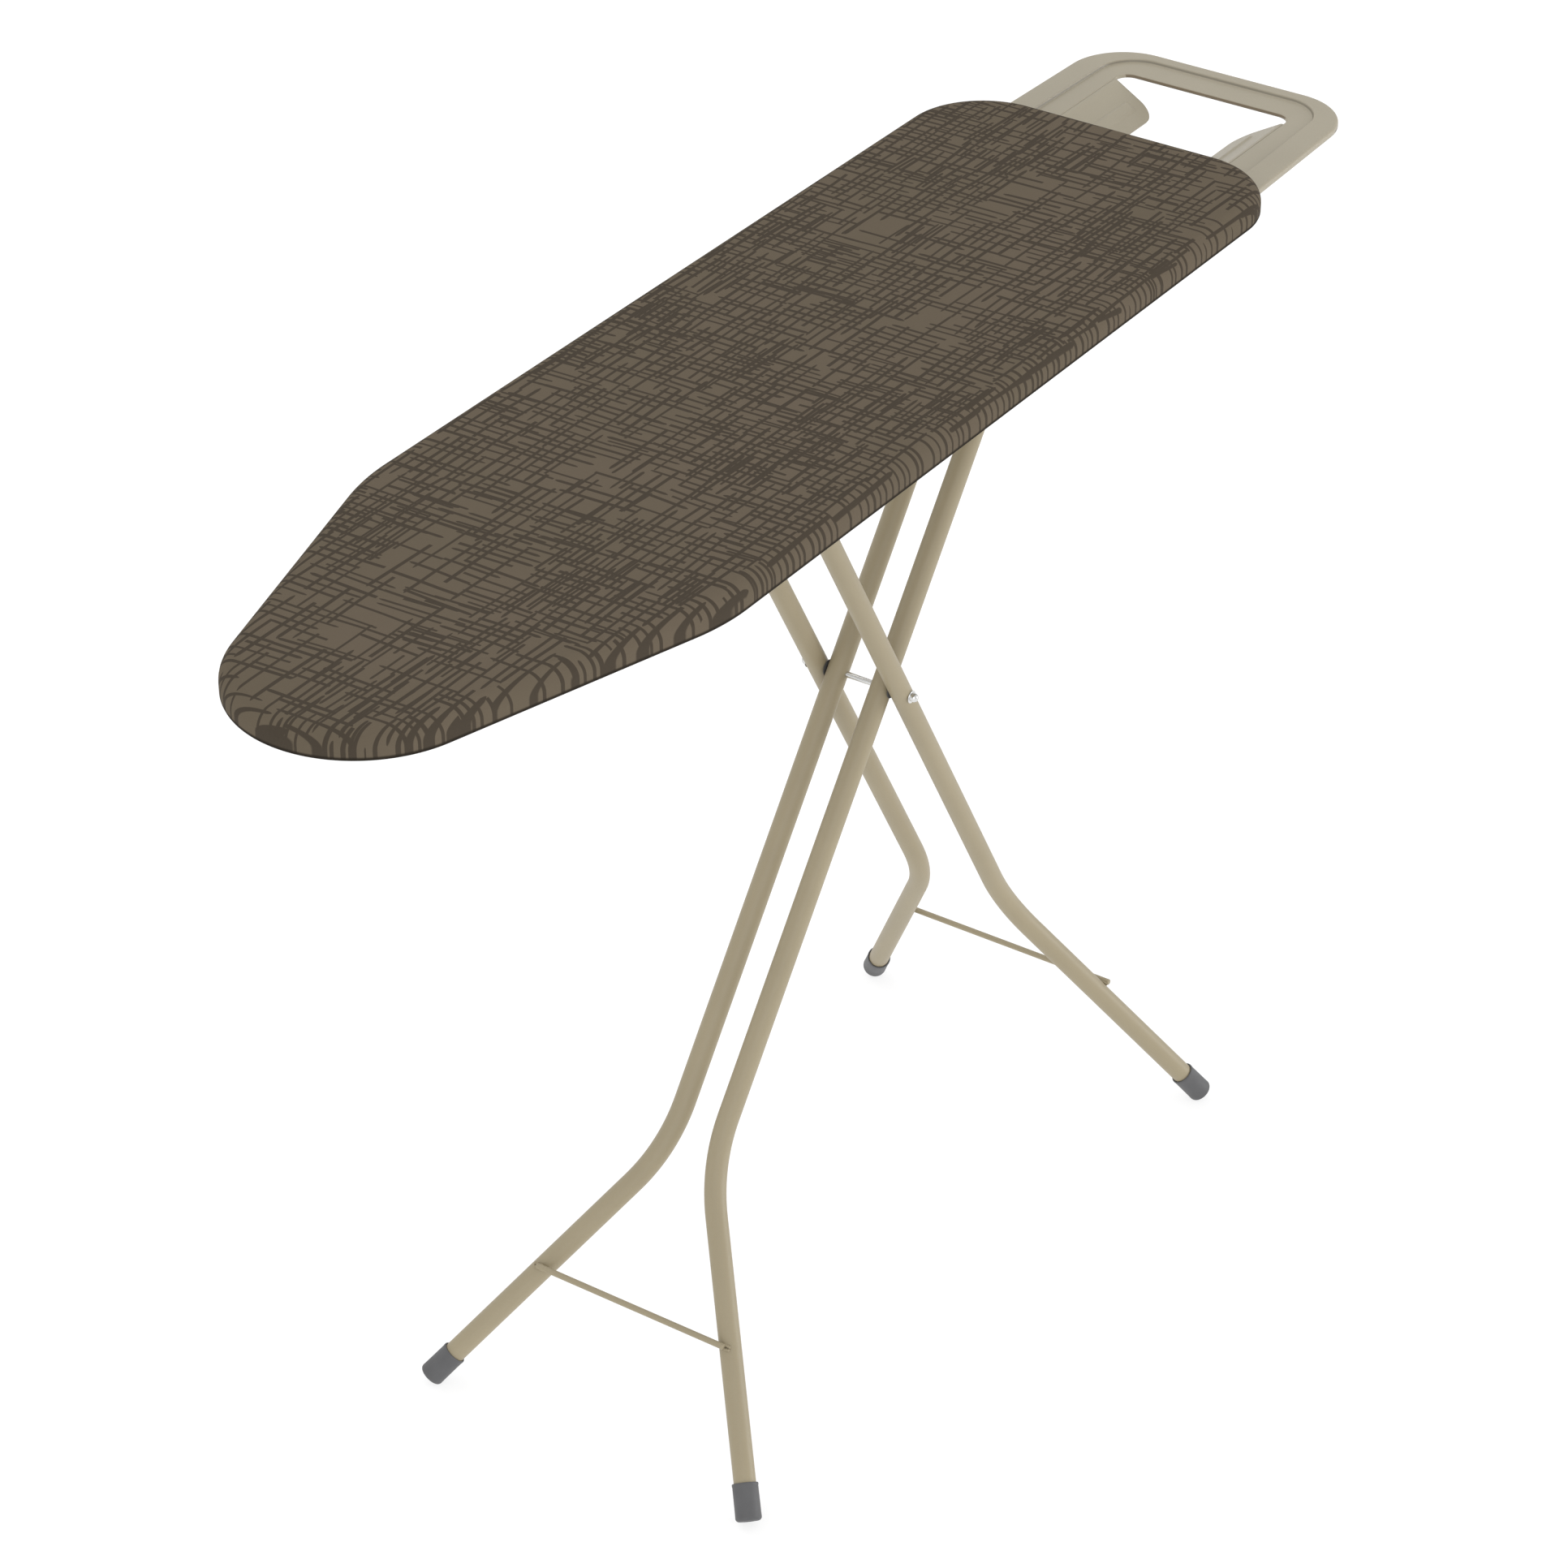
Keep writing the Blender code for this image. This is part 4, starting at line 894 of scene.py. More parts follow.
def make_panel_mesh():
    """The expanded mesh in the middle of the pressed panel."""
    reach = (REAR_X - NOSE_X) / 2 + 0.01
    count = int(reach / MESH_LONG_WAY + HALF_WIDTH / MESH_SHORT_WAY) + 2
    bm = bmesh.new()
    made = bmesh.ops.create_grid(bm, x_segments=2 * count, y_segments=2 * count, size=1.0)
    for vert in made["verts"]:
        a = vert.co.x * count
        b = vert.co.y * count
        x = (a + b) * MESH_LONG_WAY / 2 + (REAR_X + NOSE_X) / 2
        vert.co = Vector((x, (a - b) * MESH_SHORT_WAY / 2, PANEL_HIGH.z - 0.0001))
    outside = [
        f for f in bm.faces
        if abs(f.calc_center_median().y) > HALF_WIDTH
        or not NOSE_X < f.calc_center_median().x < REAR_X
    ]
    bmesh.ops.delete(bm, geom=outside, context="FACES")
    bmesh.ops.inset_individual(
        bm, faces=bm.faces, thickness=MESH_STRAND, use_even_offset=True
    )
    least = MESH_LONG_WAY * MESH_SHORT_WAY * 0.18
    holes = [
        f for f in bm.faces
        if all(len(e.link_faces) == 2 for e in f.edges) and f.calc_area() > least
    ]
    bmesh.ops.delete(bm, geom=holes, context="FACES")
    cut_to_edge(bm, MESH_INSET)
    bmesh.ops.recalc_face_normals(bm, faces=bm.faces)
    whole = bm.faces[:]
    for face in whole:
        if face.normal.z < 0:
            face.normal_flip()
    bmesh.ops.solidify(bm, geom=whole, thickness=MESH_SHEET)
    finish_piece(
        "mesh_panel", bm, "board", "underside_coat", ("top_panel",), 30
    )


def make_panel_border():
    """The panel's plain border, with its edge turned down."""
    edge = board_edge()
    low = PANEL_LOW.z
    top = PANEL_HIGH.z
    bend = top - BORDER_R
    inner_inset = BORDER_INSET + BORDER_SHEET
    inner_r = BORDER_R - BORDER_SHEET
    outer = [(BORDER_INSET, low), (BORDER_INSET, bend)]
    inner = [(inner_inset, low), (inner_inset, bend)]
    for k in range(1, 7):
        angle = pi / 2 * k / 6
        outer.append((BORDER_INSET + BORDER_R * (1 - cos(angle)),
                      top - BORDER_R * (1 - sin(angle))))
        inner.append((BORDER_INSET + BORDER_R - inner_r * cos(angle),
                      bend + inner_r * sin(angle)))
    outer.append((BORDER_REACH, top))
    inner.append((BORDER_REACH, top - BORDER_SHEET))
    loop = outer + inner[::-1] + outer[:1]

    def place(i, j):
        point, outward, _, _ = edge[i]
        spot = point - outward * loop[j][0]
        return Vector((spot.x, spot.y, loop[j][1]))

    bm = bmesh.new()
    add_mapped_grid(bm, len(edge) - 1, len(loop) - 1, place)
    finish_piece("panel_border", bm, "board", "underside_coat", (), 35)


# Iron rest


def rest_ring(side_inset, rear_inset, corner_r, z):
    """One closed ring of the rest at a height, with the same number of points for each."""
    half = REST_HALF - side_inset
    rear = REST_REAR_X - rear_inset
    front = REST_FRONT_X + side_inset
    front_r = max(REST_FRONT_R - side_inset, 0.002)
    swing = pi / 2 - REST_TAPER
    centre = Vector((rear - corner_r, half - corner_r))
    left = [Vector((rear, centre.y * k / 10)) for k in range(10)]
    left += [arc_point(centre, corner_r, swing * k / 24) for k in range(25)]
    start = left[-1].copy()
    end = Vector((front + front_r, start.y + (start.x - front - front_r) * tan(REST_TAPER)))
    left += [start.lerp(end, k / 30) for k in range(1, 30)]
    middle = end - Vector((0, front_r))
    left += [arc_point(middle, front_r, swing + (pi - swing) * k / 8) for k in range(9)]
    last = left[-1].copy()
    left += [Vector((front, last.y * (1 - k / 6))) for k in range(1, 7)]
    return close_ring(left, z)


def window_ring(z, inset=0.0):
    """The window's edge as a closed ring."""
    rear = WINDOW_X[1] + inset
    half = WINDOW_HALF + inset
    radius = WINDOW_R + inset
    centre = Vector((rear - radius, half - radius))
    left = [Vector((rear, centre.y * k / 10)) for k in range(10)]
    left += [arc_point(centre, radius, pi / 2 * k / 14) for k in range(15)]
    start = left[-1].copy()
    end = Vector((WINDOW_X[0], half))
    left += [start.lerp(end, k / 24) for k in range(1, 25)]
    left += [Vector((WINDOW_X[0], half * (1 - k / 8))) for k in range(1, 9)]
    return close_ring(left, z)


def flap_drop(y, x):
    """How far the flap's face lies below the band: a bend, then a slope with a raised bar."""
    down = WINDOW_HALF - y
    slope = tan(FLAP_SLOPE)
    if down > FLAP_BEND:
        drop = slope * (down - FLAP_BEND / 2)
    else:
        drop = slope * down * down / (2 * FLAP_BEND)
    bar = smoothstep(*FLAP_BAR_STARTS, y) * (1 - smoothstep(*FLAP_BAR_STOPS, y))
    bar *= 1 - smoothstep(*FLAP_BAR_ENDS, x)
    return drop - FLAP_BAR_HEIGHT * bar


def rest_levels():
    """(side inset, rear inset, corner radius, height) from the rim's lip to the band."""
    top = REST_TOP_Z
    lip = top - REST_LIP
    levels = [
        (0.0008, 0.0008, REST_CORNER_R - 0.0008, lip - 0.0002),
        (0.0, 0.0, REST_CORNER_R, lip + 0.0006),
        (0.0, 0.0, REST_CORNER_R, top - REST_EDGE_R),
    ]
    for k in range(1, 6):
        angle = pi / 2 * k / 5
        cut = REST_EDGE_R * (1 - cos(angle))
        levels.append((cut, cut, REST_CORNER_R - cut, top - REST_EDGE_R * (1 - sin(angle))))
    levels.append((0.0060, 0.0045, 0.0490, top))
    steps = 12
    for k in range(steps + 1):
        share = k / steps
        rise = 1 - smoothstep(0.10, 0.60, share)
        side = SIDE_BAND - 0.0004 + (SIDE_STEP + 0.0008) * share
        rear = REAR_BAND + 0.0004 + (REAR_STEP - 0.0014) * share
        levels.append((side, rear, 0.0375 - 0.004 * share, top - REST_STEP + REST_STEP * rise))
    return levels


def add_flap(bm, side):
    """One flap of the rest, bent down from the window's side."""
    front, rear_end = FLAP_X
    columns = [front + (rear_end - front) * k / 24 for k in range(19)]
    columns += [rear_end - 0.0322 * (1 - k / 22) for k in range(1, 23)]

    def place(i, j):
        y = WINDOW_HALF - FLAP_ROWS[j]
        over = FLAP_HALF + FLAP_CORNER_R - y
        rear = rear_end
        if over > 0:
            rear -= FLAP_CORNER_R - sqrt(max(FLAP_CORNER_R ** 2 - over ** 2, 0.0))
        share = (columns[i] - front) / (rear_end - front)
        x = front + (rear - front) * share
        return Vector((x, side * y, REST_TOP_Z - REST_STEP - 0.0004 - flap_drop(y, x)))

    add_mapped_grid(bm, len(columns) - 1, len(FLAP_ROWS) - 1, place)


def make_iron_rest():
    """The pressed sheet: rim, step, band, window lip and two flaps."""
    band = REST_TOP_Z - REST_STEP
    bm = bmesh.new()
    rings = [rest_ring(*level) for level in rest_levels()]
    add_mapped_grid(bm, len(rings[0]) - 1, len(rings) - 1, lambda i, j: rings[j][i])
    bmesh.ops.remove_doubles(bm, verts=bm.verts, dist=MERGE)
    inner_edge = boundary_at(bm, band, MERGE)
    lips = [window_ring(band - drop, inset) for drop, inset in WINDOW_LIP]
    verts = add_mapped_grid(bm, len(lips[0]) - 1, len(lips) - 1, lambda i, j: lips[j][i])
    bmesh.ops.remove_doubles(bm, verts=verts, dist=MERGE)
    window_edge = [e for e in boundary_at(bm, band, MERGE) if e not in inner_edge]
    bmesh.ops.bridge_loops(bm, edges=inner_edge + window_edge)
    for side in (1, -1):
        add_flap(bm, side)
    for face in bm.faces:
        face.normal_update()
        if face.normal.z < -0.2:
            face.normal_flip()
    piece = finish_piece(
        "rest_sheet", bm, "board", "rest_coat_finish", ("iron_rest",), 50, 1e-5
    )
    add_wall(piece, "sheet_thickness", REST_SHEET)


# Legs


def leg_directions(frame_of):
    """(up along the legs, the face that the bars lie on) for one leg frame."""
    angle, lean = frame_of["angle"], frame_of["lean"]
    up = Vector((lean * cos(angle), 0, sin(angle)))
    face = Vector((-lean * sin(angle), 0, cos(angle)))
    return up, face


def leg_point(frame_of, s, y):
    """The point a length s down the leg from the pivot, and y to the side."""
    up, _ = leg_directions(frame_of)
    place = PIVOT - up * s
    return Vector((place.x, y, place.z))


def foot_reach(frame_of):
    """How far past the bend's corner a foot cap reaches, so that its edge meets the floor."""
    up, _ = leg_directions(frame_of)
    drop = up.z * cos(frame_of["flare"])
    across = sqrt(1 - drop * drop)
    height = leg_point(frame_of, frame_of["bend"], 0).z
    height -= (FOOT_R - FOOT_CORNER_R) * across + FOOT_CORNER_R
    return FOOT_CORNER_R + height / drop


def leg_path(frame_of, side):
    """The middle line of one bent tube, from top to foot."""
    flare, radius, bend, gap = (frame_of[key] for key in ("flare", "radius", "bend", "gap"))
    up, face = leg_directions(frame_of)
    top_s = (frame_of["top"] - face * (TUBE_R + BAR_R + FIT_GAP) - PIVOT).dot(up)
    tangent = radius * tan(flare / 2)
    reach = foot_reach(frame_of) - 0.0033
    end = -top_s - PAST_BAR
    flat = [(end, gap), (end + 0.002, gap), (-0.02, gap), (0.02, gap)]
    steps = 18
    for k in range(steps + 1):
        angle = flare * k / steps
        flat.append((bend - tangent + radius * sin(angle), gap + radius * (1 - cos(angle))))
    flat.append((bend + reach * cos(flare), gap + reach * sin(flare)))
    return [leg_point(frame_of, s, side * y) for s, y in flat]


def make_leg(frame_of, side, word):
    """A bent tube, hollow for a short way in from each end."""
    _, face = leg_directions(frame_of)
    path = leg_path(frame_of, side)
    bm = bmesh.new()
    add_tube(bm, path, TUBE_R, face, 40)
    bmesh.ops.remove_doubles(bm, verts=bm.verts, dist=MERGE)
    bore = (TUBE_R - TUBE_WALL) / TUBE_R
    for end, inward in ((path[0], path[1] - path[0]), (path[-1], path[-2] - path[-1])):
        rim = [
            e for e in bm.edges
            if e.is_boundary and (e.verts[0].co - end).length < TUBE_R * 1.2
        ]
        inward = inward.normalized()
        for scale, depth in ((0.94, -0.0003), (bore / 0.94, 0.0), (1.0, MOUTH_DEPTH)):
            made = bmesh.ops.extrude_edge_only(bm, edges=rim)
            verts = [v for v in made["geom"] if isinstance(v, bmesh.types.BMVert)]
            rim = [e for e in made["geom"] if isinstance(e, bmesh.types.BMEdge) and e.is_boundary]
            centre = sum((v.co for v in verts), Vector()) / len(verts)
            bmesh.ops.scale(bm, vec=(scale,) * 3, space=Matrix.Translation(-centre), verts=verts)
            bmesh.ops.translate(bm, vec=inward * depth, verts=verts)
        bmesh.ops.contextual_create(bm, geom=rim)
    name = frame_of["body"].replace("_legs", "_leg")
    finish_piece(
        f"{name}_tube_{word}", bm, frame_of["body"], "leg_coat",
        (f"{name}_{word}",), 50
    )


def make_foot(frame_of, side, word):
    """A moulded cap with a collar round its mouth."""
    up, _ = leg_directions(frame_of)
    flare = frame_of["flare"]
    corner = leg_point(frame_of, frame_of["bend"], side * frame_of["gap"])
    along = -up * cos(flare) + Vector((0, side * sin(flare), 0))
    end = corner + along * foot_reach(frame_of)
    inner = TUBE_R + 0.0002
    profile = [
        (0, 0.003), (inner, 0.003), (inner, FOOT_LENGTH - 0.0004), (inner + 0.0004, FOOT_LENGTH),
        (FOOT_R - 0.0004, FOOT_LENGTH), (FOOT_R, FOOT_LENGTH - 0.0005),
        (FOOT_R, FOOT_LENGTH - 0.0022), (FOOT_R - 0.0002, FOOT_LENGTH - 0.0025),
        (FOOT_R - 0.0001, FOOT_CORNER_R + 0.004),
    ]
    for k in range(9):
        angle = pi / 2 * k / 8
        radius = FOOT_R - FOOT_CORNER_R + FOOT_CORNER_R * cos(angle)
        profile.append((radius, FOOT_CORNER_R * (1 - sin(angle))))
    profile += [(0.0045, 0.0), (0.0041, 0.0004), (0, 0.0004)]
    bm = bmesh.new()
    add_turned(bm, profile, end, -along, 48)
    name = frame_of["body"].replace("_legs", "_foot")
    finish_piece(
        f"{name}_cap_{word}", bm, frame_of["body"], "foot_plastic",
        (f"{name}_{word}",)
    )


def make_stretcher(frame_of):
    """A thin rod across the legs, welded to each tube."""
    up, face = leg_directions(frame_of)
    centre = leg_point(frame_of, frame_of["rod"], 0) + face * (TUBE_R + ROD_R + FIT_GAP)
    half = Vector((0, frame_of["rod_half"], 0))
    bm = bmesh.new()
    add_rod(bm, centre - half, centre + half, ROD_R, 24, 0.0005)
    past = frame_of["rod"] - frame_of["bend"]
    leg_y = frame_of["gap"] + past * tan(frame_of["flare"])
    for side in (1, -1):
        spot = centre + Vector((0, side * leg_y, 0)) - face * (ROD_R * 0.9)
        add_weld(bm, spot, up, ROD_WELD)
    name = frame_of["body"].replace("_legs", "_stretcher")
    finish_piece(f"{name}_rod", bm, frame_of["body"], "leg_coat", (name,))


def make_cross_bar(name, node, frame_of, half, radius):
    """A steel bar through the tops of the legs, with weld where it meets each tube."""
    low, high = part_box(node)
    centre = (low + high) / 2
    up, face = leg_directions(frame_of)
    reach = Vector((0, half, 0))
    bm = bmesh.new()
    add_rod(bm, centre - reach, centre + reach, radius, 32, 0.0006)
    for side in (1, -1):
        spot = centre + Vector((0, side * frame_of["gap"], 0)) - face * (radius * 0.85)
        add_weld(bm, spot, up, BAR_WELD)
    finish_piece(name, bm, frame_of["body"], "bar_steel", (node,))


def make_dome_nut(side, word):
    """A domed push nut on its thin flange."""
    base = OUTER["gap"] + TUBE_R + FIT_GAP
    profile = [(NUT_BORE_R, 0.0), (NUT_R, 0.0)]
    for k in range(9):
        angle = pi / 2 * k / 8
        profile.append((NUT_R * cos(angle), NUT_SKIRT + NUT_R * sin(angle)))
    flange = [
        (NUT_BORE_R, 0.0), (0.0052, 0.0), (0.0054, 0.0003), (0.0052, 0.0006), (0.0036, 0.0008),
    ]
    bm = bmesh.new()
    for shape, off in ((profile, base), (flange, base - 0.0001)):
        add_turned(bm, shape, PIVOT + Vector((0, side * off, 0)), (0, side, 0), 36)
    finish_piece(
        f"pivot_dome_{word}", bm, "inner_legs", "bright_plate",
        (f"pivot_nut_{word}",)
    )


def make_ring(name, node, body, material, inner, chamfer=0.0003):
    """A washer, bush or push-on clip on a bar along Y, where its node is."""
    low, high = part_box(node)
    centre = (low + high) / 2
    outer = (high.z - low.z) / 2
    width = high.y - low.y
    profile = [
        (inner, 0.0), (outer - chamfer, 0.0), (outer, chamfer), (outer, width - chamfer),
        (outer - chamfer, width), (inner, width), (inner, 0.0),
    ]
    bm = bmesh.new()
    add_turned(bm, profile, (centre.x, low.y, centre.z), (0, 1, 0), 36)
    finish_piece(name, bm, body, material, (node,))


def make_pan_screw(name, node):
    """A pan head screw under the sheet, with a cross recess."""
    low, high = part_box(node)
    centre = (low + high) / 2
    head_r = (high.x - low.x) / 2
    length = high.z - low.z
    profile = [(0.0, 0.0)]
    for k in range(7):
        angle = pi / 2 * k / 6
        profile.append((head_r * (0.30 + 0.70 * sin(angle)), 0.0018 * (1 - cos(angle)) + 0.0001))
    profile += [
        (head_r, 0.0020), (0.0020, 0.0020), (0.0020, length - 0.0004), (0.0016, length),
        (0.0, length),
    ]
    bm = bmesh.new()
    add_turned(bm, profile, (centre.x, centre.y, low.z), (0, 0, 1), 28)
    middle = Matrix.Translation((centre.x, centre.y, low.z + 0.0002))
    slot_size = Matrix.Diagonal((0.0040, 0.0008, 0.0007, 1))
    for turn in (0.0, pi / 2):
        made = bmesh.ops.create_cube(bm, size=1.0)
        matrix = middle @ Matrix.Rotation(turn, 4, "Z") @ slot_size
        bmesh.ops.transform(bm, matrix=matrix, verts=made["verts"])
    finish_piece(name, bm, "board", "plated_steel", (node,))


# Settings


def colour_setting(name, description, default):
    return FloatVectorProperty(
        name=name, description=description, subtype="COLOR", size=3, default=default, min=0, max=1
    )


def length_setting(name, description, default, low, high):
    return FloatProperty(
        name=name, description=description, unit="LENGTH", default=default, min=low, max=high
    )


def light_setting(name, description, default, high=20):
    return FloatProperty(name=name, description=description, default=default, min=0, max=high)


def angle_setting(name, description, default):
    return FloatProperty(name=name, description=description, subtype="ANGLE", default=default)


class CoverSettings(PropertyGroup):
    base_colour: colour_setting(
        "Cover colour", "Ground colour of the print", (0.144, 0.117, 0.083)
    )
    base_colour_warm: colour_setting(
        "Cover colour, warm", "Ground colour where it drifts warmer", (0.150, 0.120, 0.087)
    )
    stroke_colour: colour_setting(
        "Stroke colour", "Colour of the drawn strokes", (0.071, 0.057, 0.042)
    )
    stroke_width: length_setting(
        "Stroke width", "Width of the drawn strokes", 0.0024, 0.0005, 0.01
    )
    thread: length_setting(
        "Thread", "Distance between threads of the weave", 0.0006, 0.0002, 0.005
    )


class FrameSettings(PropertyGroup):
    leg_colour: colour_setting(
        "Leg coat", "Powder coat of the legs", (0.340, 0.288, 0.189)
    )
    rest_colour: colour_setting(
        "Rest coat", "Powder coat of the iron rest", (0.358, 0.320, 0.240)
    )
    grain: length_setting(
        "Coat grain", "Size of the coat's orange peel", 0.0011, 0.0002, 0.01
    )
    foot_colour: colour_setting(
        "Foot colour", "Plastic of the foot caps", (0.103, 0.103, 0.106)
    )


class StageSettings(PropertyGroup):
    floor_colour: colour_setting(
        "Floor colour", "Colour of the studio floor", (0.32, 0.32, 0.32)
    )
    floor_glow: light_setting(
        "Floor glow", "Light that the floor gives out by itself", 0.75, 10
    )
    ambient: light_setting(
        "Ambient light", "Strength of the even light overhead", 0.90, 10
    )
    top_light: light_setting("Top light", "Strength of the light from above", 0.36)
    side_light: light_setting("Side light", "Strength of the light from one side", 1.20)
    front_light: light_setting("Front light", "Strength of the light on the nose", 0.60)
    camera_lens: FloatProperty(
        name="Lens", description="Focal length on a 36 mm sensor", default=107.49,
        min=10, max=400,
    )
    camera_azimuth: angle_setting(
        "View direction", "Turn of the view from the board's width towards its length",
        radians(56.1003),
    )
    camera_elevation: angle_setting(
        "View height", "Angle that the view looks down at", radians(32.9856)
    )


# Operators


class BOARD_OT_finishes(Operator):
    """Make the finishes that the pieces share"""

    bl_idname = "ironing_board.make_finishes"
    bl_label = "Make finishes"

    def execute(self, context):
        cover = context.scene.board_cover_settings
        metal = context.scene.board_frame_settings
        strokes = build_stroke_group()
        weave = build_weave_group()
        coat = build_coat_group()
        make_cover_finish(cover, strokes, weave)
        make_felt_finish()
        leg = Vector(metal.leg_colour)
        rest = Vector(metal.rest_colour)
        make_coat_finish("leg_coat", coat, leg, leg * 0.95, 0.46, metal.grain, 0.16)
        make_coat_finish("rest_coat_finish", coat, rest, rest * 0.96, 0.38, metal.grain, 0.22, True)
        make_coat_finish("underside_coat", coat, leg * 0.97, leg * 0.90, 0.52, metal.grain, 0.08)
        make_steel_finish("bar_steel", (0.50, 0.50, 0.49), 0.34, (1, 0.05, 1))
        make_steel_finish("bright_plate", (0.72, 0.72, 0.71), 0.14, (1, 1, 1))
        make_steel_finish("plated_steel", (0.56, 0.57, 0.57), 0.36, (0.3, 1, 1))
        make_plastic_finish("foot_plastic", metal.foot_colour, 0.55, 2600.0, 0.05)
        make_plastic_finish("grip_plastic", (0.10, 0.10, 0.105), 0.50, 2200.0, 0.05)
        make_plastic_finish("white_nylon", (0.70, 0.69, 0.65), 0.45, 1800.0, 0.03)
        stage = context.scene.board_stage_settings
        make_floor_finish(stage.floor_colour, stage.floor_glow)
        return {"FINISHED"}


class BOARD_OT_stage(Operator):
    """Add the floor, the lights and the camera"""

    bl_idname = "ironing_board.add_stage"
    bl_label = "Add stage"

    def execute(self, context):
        stage = context.scene.board_stage_settings
        bm = bmesh.new()
        bmesh.ops.create_grid(bm, x_segments=8, y_segments=8, size=FLOOR_REACH)
        mesh = bpy.data.meshes.new("studio_floor")
        bm.to_mesh(mesh)
        bm.free()
        mesh.materials.append(MATERIALS["studio_floor"])
        floor_plane = bpy.data.objects.new("studio_floor", mesh)
        context.scene.collection.objects.link(floor_plane)

        world = bpy.data.worlds.new("soft_sky")
        world.use_nodes = True
        sky = world.node_tree
        direction = sky.nodes.new("ShaderNodeTexCoord")
        parts = sky.nodes.new("ShaderNodeSeparateXYZ")
        sky.links.new(direction.outputs["Generated"], parts.inputs[0])
        bright = add_mapped(
            sky, parts.outputs[2], 0.0, SKY_HEIGHT, stage.ambient * HORIZON_SHARE, stage.ambient
        )
        feed(sky, sky.nodes["Background"].inputs["Strength"], bright)
        sky.nodes["Background"].inputs["Color"].default_value = (1.0, 1.0, 1.0, 1.0)
        context.scene.world = world
        lamps = (
            ("top_light", Vector((0.10, 0.75, 0.80)), radians(40), stage.top_light),
            ("side_light", Vector((0.60, -0.80, 0.06)), radians(30), stage.side_light),
            ("front_light", Vector((-0.75, -0.50, 0.40)), radians(50), stage.front_light),
        )
        for name, source, spread, strength in lamps:
            light = bpy.data.lights.new(name, "SUN")
            light.angle = spread
            light.energy = strength
            lamp = bpy.data.objects.new(name, light)
            lamp.matrix_world = Matrix.Translation(source * LAMP_DISTANCE) @ axes_along(source)
            context.scene.collection.objects.link(lamp)

        az, el = stage.camera_azimuth, stage.camera_elevation
        ahead = Vector((sin(az) * cos(el), cos(az) * cos(el), -sin(el)))
        right = ahead.cross(Vector((0, 0, 1))).normalized()
        above = right.cross(ahead)
        lens = bpy.data.cameras.new("studio_camera")
        lens.lens = stage.camera_lens
        lens.sensor_width = SENSOR_WIDTH
        lens.clip_end = 100.0
        camera = bpy.data.objects.new("studio_camera", lens)
        axes = Matrix((right, above, -ahead)).transposed().to_4x4()
        camera.matrix_world = Matrix.Translation(CAMERA_PLACE) @ axes
        context.scene.collection.objects.link(camera)
        context.scene.camera = camera
        context.scene.view_settings.view_transform = "Standard"
        return {"FINISHED"}


class BOARD_OT_cover(Operator):
    """Add the printed cover and the felt pad under it"""

    bl_idname = "ironing_board.add_cover"
    bl_label = "Add cover and pad"

    def execute(self, context):
        make_felt_pad()
        make_cover()
        return {"FINISHED"}


class BOARD_OT_panel(Operator):
    """Add the pressed mesh panel and its turned-down border"""

    bl_idname = "ironing_board.add_panel"
    bl_label = "Add mesh panel"

    def execute(self, context):
        make_panel_mesh()
        make_panel_border()
        return {"FINISHED"}


class BOARD_OT_iron_rest(Operator):
    """Add the pressed iron rest"""

    bl_idname = "ironing_board.add_iron_rest"
    bl_label = "Add iron rest"

    def execute(self, context):
        make_iron_rest()
        return {"FINISHED"}


class BOARD_OT_legs(Operator):
    """Add both leg frames with their foot caps, rods and bars"""

    bl_idname = "ironing_board.add_legs"
    bl_label = "Add legs"

    def execute(self, context):
        for frame_of in (INNER, OUTER):
            for side, word in SIDES:
                make_leg(frame_of, side, word)
                make_foot(frame_of, side, word)
            make_stretcher(frame_of)
        make_cross_bar("hinge_rod", "hinge_bar", INNER, 0.100, BAR_R)
        make_cross_bar("slide_rod", "slide_bar", OUTER, 0.092, BAR_R)
        return {"FINISHED"}


class BOARD_OT_fittings(Operator):
    """Add the pin, nuts, washers, bushes, clips and screws"""

    bl_idname = "ironing_board.add_fittings"
    bl_label = "Add fittings"

    def execute(self, context):
        half = Vector((0, (PIN_HIGH.y - PIN_LOW.y) / 2, 0))
        bm = bmesh.new()
        add_rod(bm, PIVOT - half, PIVOT + half, PIN_R, 28)
        finish_piece(
            "pivot_rod", bm, "inner_legs", "bright_plate", ("pivot_pin",)
        )
        rings = (
            # The pivot spacers take the dark foot plastic, made dark as painted shade where the
            # crossing tubes shade each other
            ("pivot_spacer", "pivot_washer", "inner_legs", "foot_plastic", "dark_plastic", 0.0028),
            ("hinge_cap", "hinge_clip", "inner_legs", "grip_plastic", "dark_plastic", 0.0043),
            ("slide_roller", "slide_bush", "outer_legs", "white_nylon", "nylon", 0.0041),
            ("slide_cap", "slide_clip", "outer_legs", "grip_plastic", "dark_plastic", 0.0043),
        )
        for side, word in SIDES:
            make_dome_nut(side, word)
            for name, node, body, material, slot, bore_r in rings:
                make_ring(f"{name}_{word}", f"{node}_{word}", body, material, bore_r)
        for node in sorted(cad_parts):
            if "_screw_" in node:
                make_pan_screw(node.replace("_screw_", "_bolt_"), node)
        return {"FINISHED"}


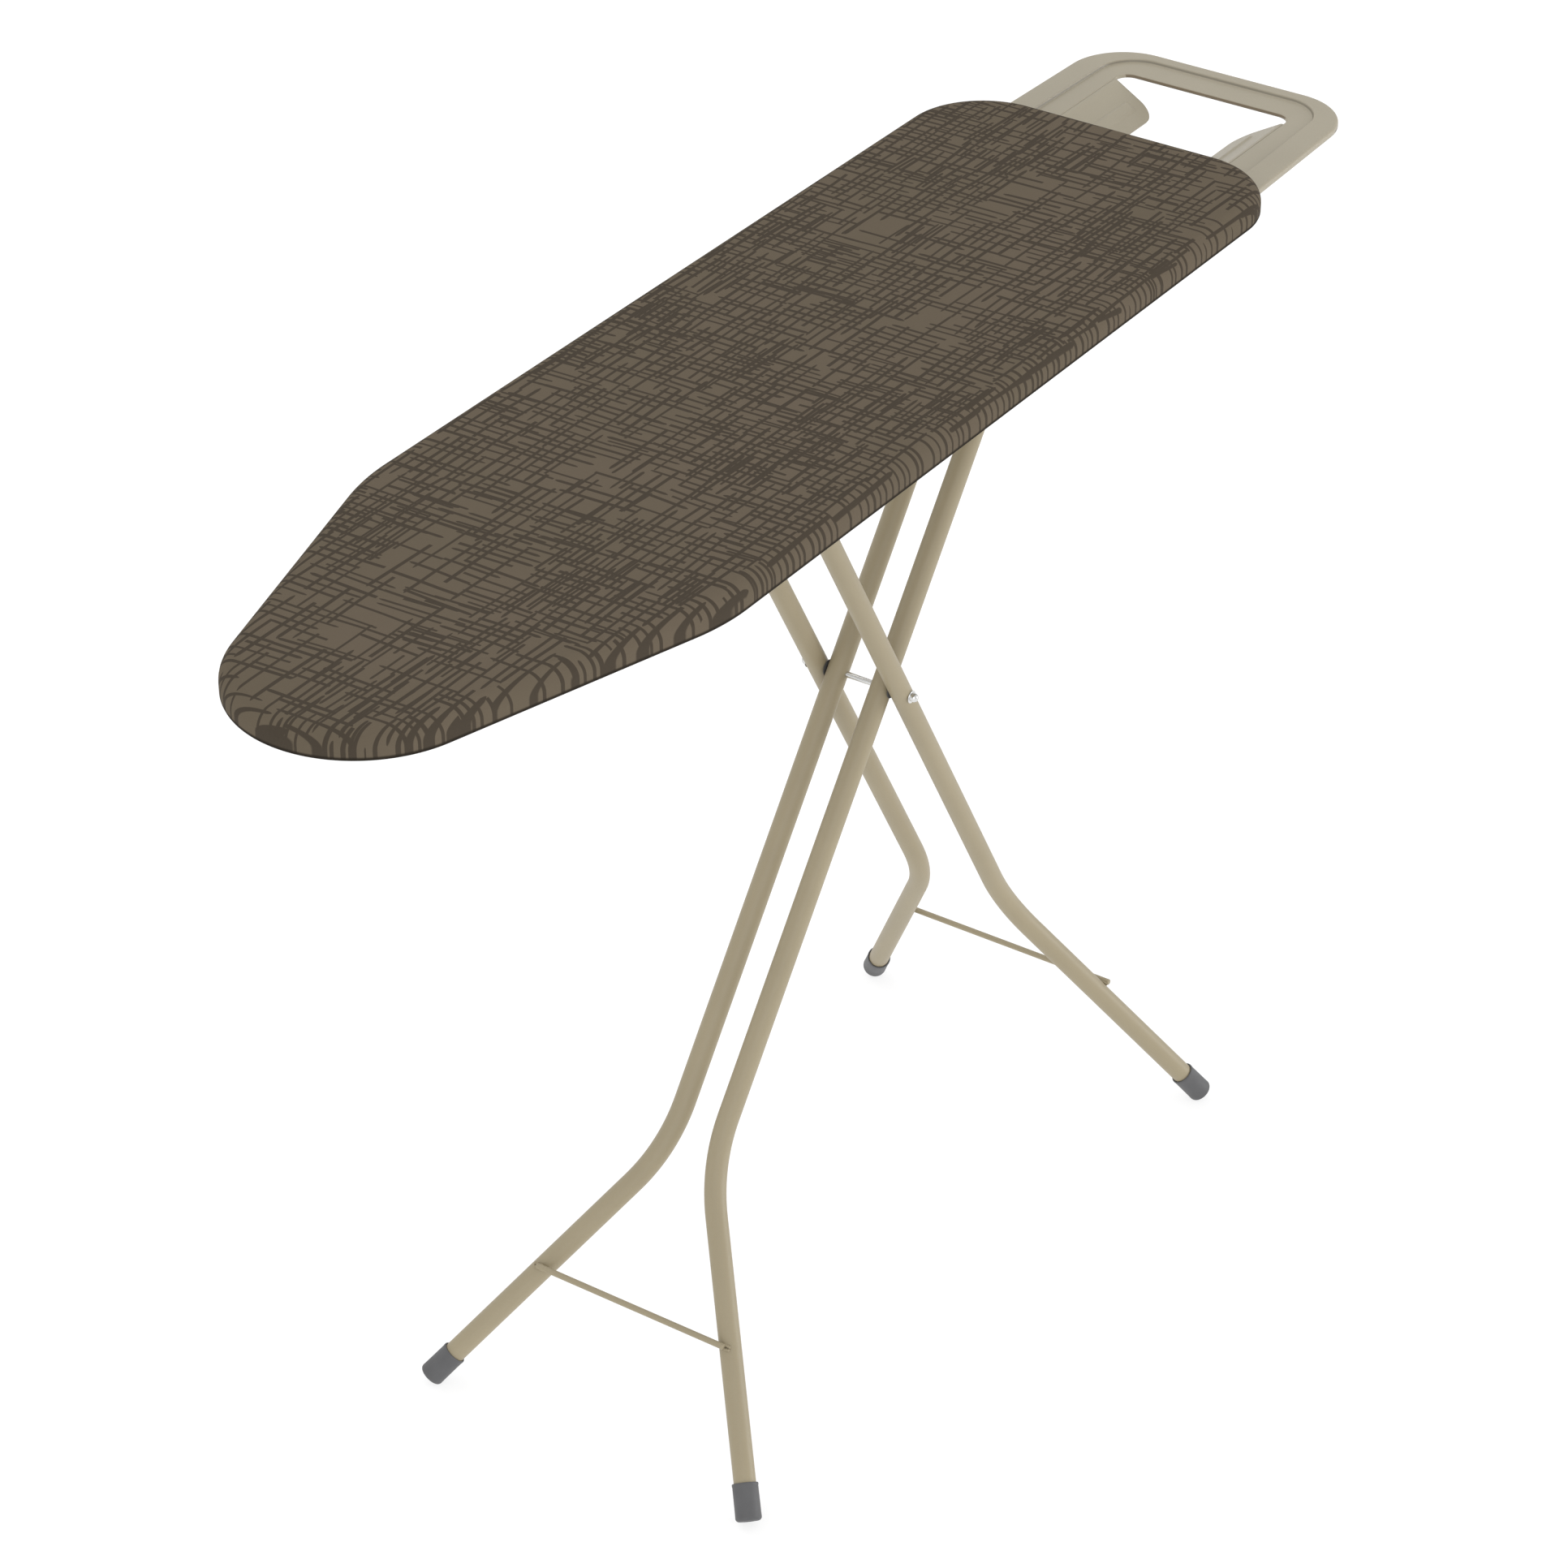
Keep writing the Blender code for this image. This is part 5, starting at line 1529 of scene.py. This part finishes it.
class BOARD_OT_carried(Operator):
    """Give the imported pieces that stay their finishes"""

    bl_idname = "ironing_board.finish_carried"
    bl_label = "Finish packed pieces"

    def execute(self, context):
        finishes = {
            "underside_coat": ("rib", "rim_strip", "guide_rail"),
            "plated_steel": ("hinge_bracket", "lever_bracket", "release_lever", "rest_spacer"),
            "bright_plate": ("lever_pin", "lever_spring"),
            "grip_plastic": ("lever_grip",),
        }
        for name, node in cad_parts.items():
            for finish, starts in finishes.items():
                if name.startswith(starts):
                    node.data.materials.clear()
                    node.data.materials.append(MATERIALS[finish])
        return {"FINISHED"}


class BOARD_PT_panel(Panel):
    """The ironing board's sizes, colours and pieces"""

    bl_idname = "BOARD_PT_panel"
    bl_label = "Ironing Board"
    bl_space_type = "VIEW_3D"
    bl_region_type = "UI"
    bl_category = "Ironing Board"

    def draw(self, context):
        layout = self.layout
        for name in SETTINGS:
            box = layout.box()
            group = getattr(context.scene, name)
            for key in group.__annotations__:
                box.prop(group, key)
        for operator in OPERATORS:
            layout.operator(operator.bl_idname)


SETTINGS = {
    "board_cover_settings": CoverSettings,
    "board_frame_settings": FrameSettings,
    "board_stage_settings": StageSettings,
}
OPERATORS = (
    BOARD_OT_finishes, BOARD_OT_stage, BOARD_OT_cover, BOARD_OT_panel, BOARD_OT_iron_rest,
    BOARD_OT_legs, BOARD_OT_fittings, BOARD_OT_carried,
)
CLASSES = (*SETTINGS.values(), *OPERATORS, BOARD_PT_panel)


def register():
    for cls in CLASSES:
        bpy.utils.register_class(cls)
    for name, group in SETTINGS.items():
        setattr(bpy.types.Scene, name, PointerProperty(type=group))


def unregister():
    for name in SETTINGS:
        delattr(bpy.types.Scene, name)
    for cls in reversed(CLASSES):
        bpy.utils.unregister_class(cls)


def main():
    """Make the whole board."""
    register()
    board = bpy.ops.ironing_board
    board.make_finishes()
    board.add_stage()
    board.add_cover()
    board.add_panel()
    board.add_iron_rest()
    board.add_legs()
    board.add_fittings()
    board.finish_carried()


if __name__ == "__main__":
    main()
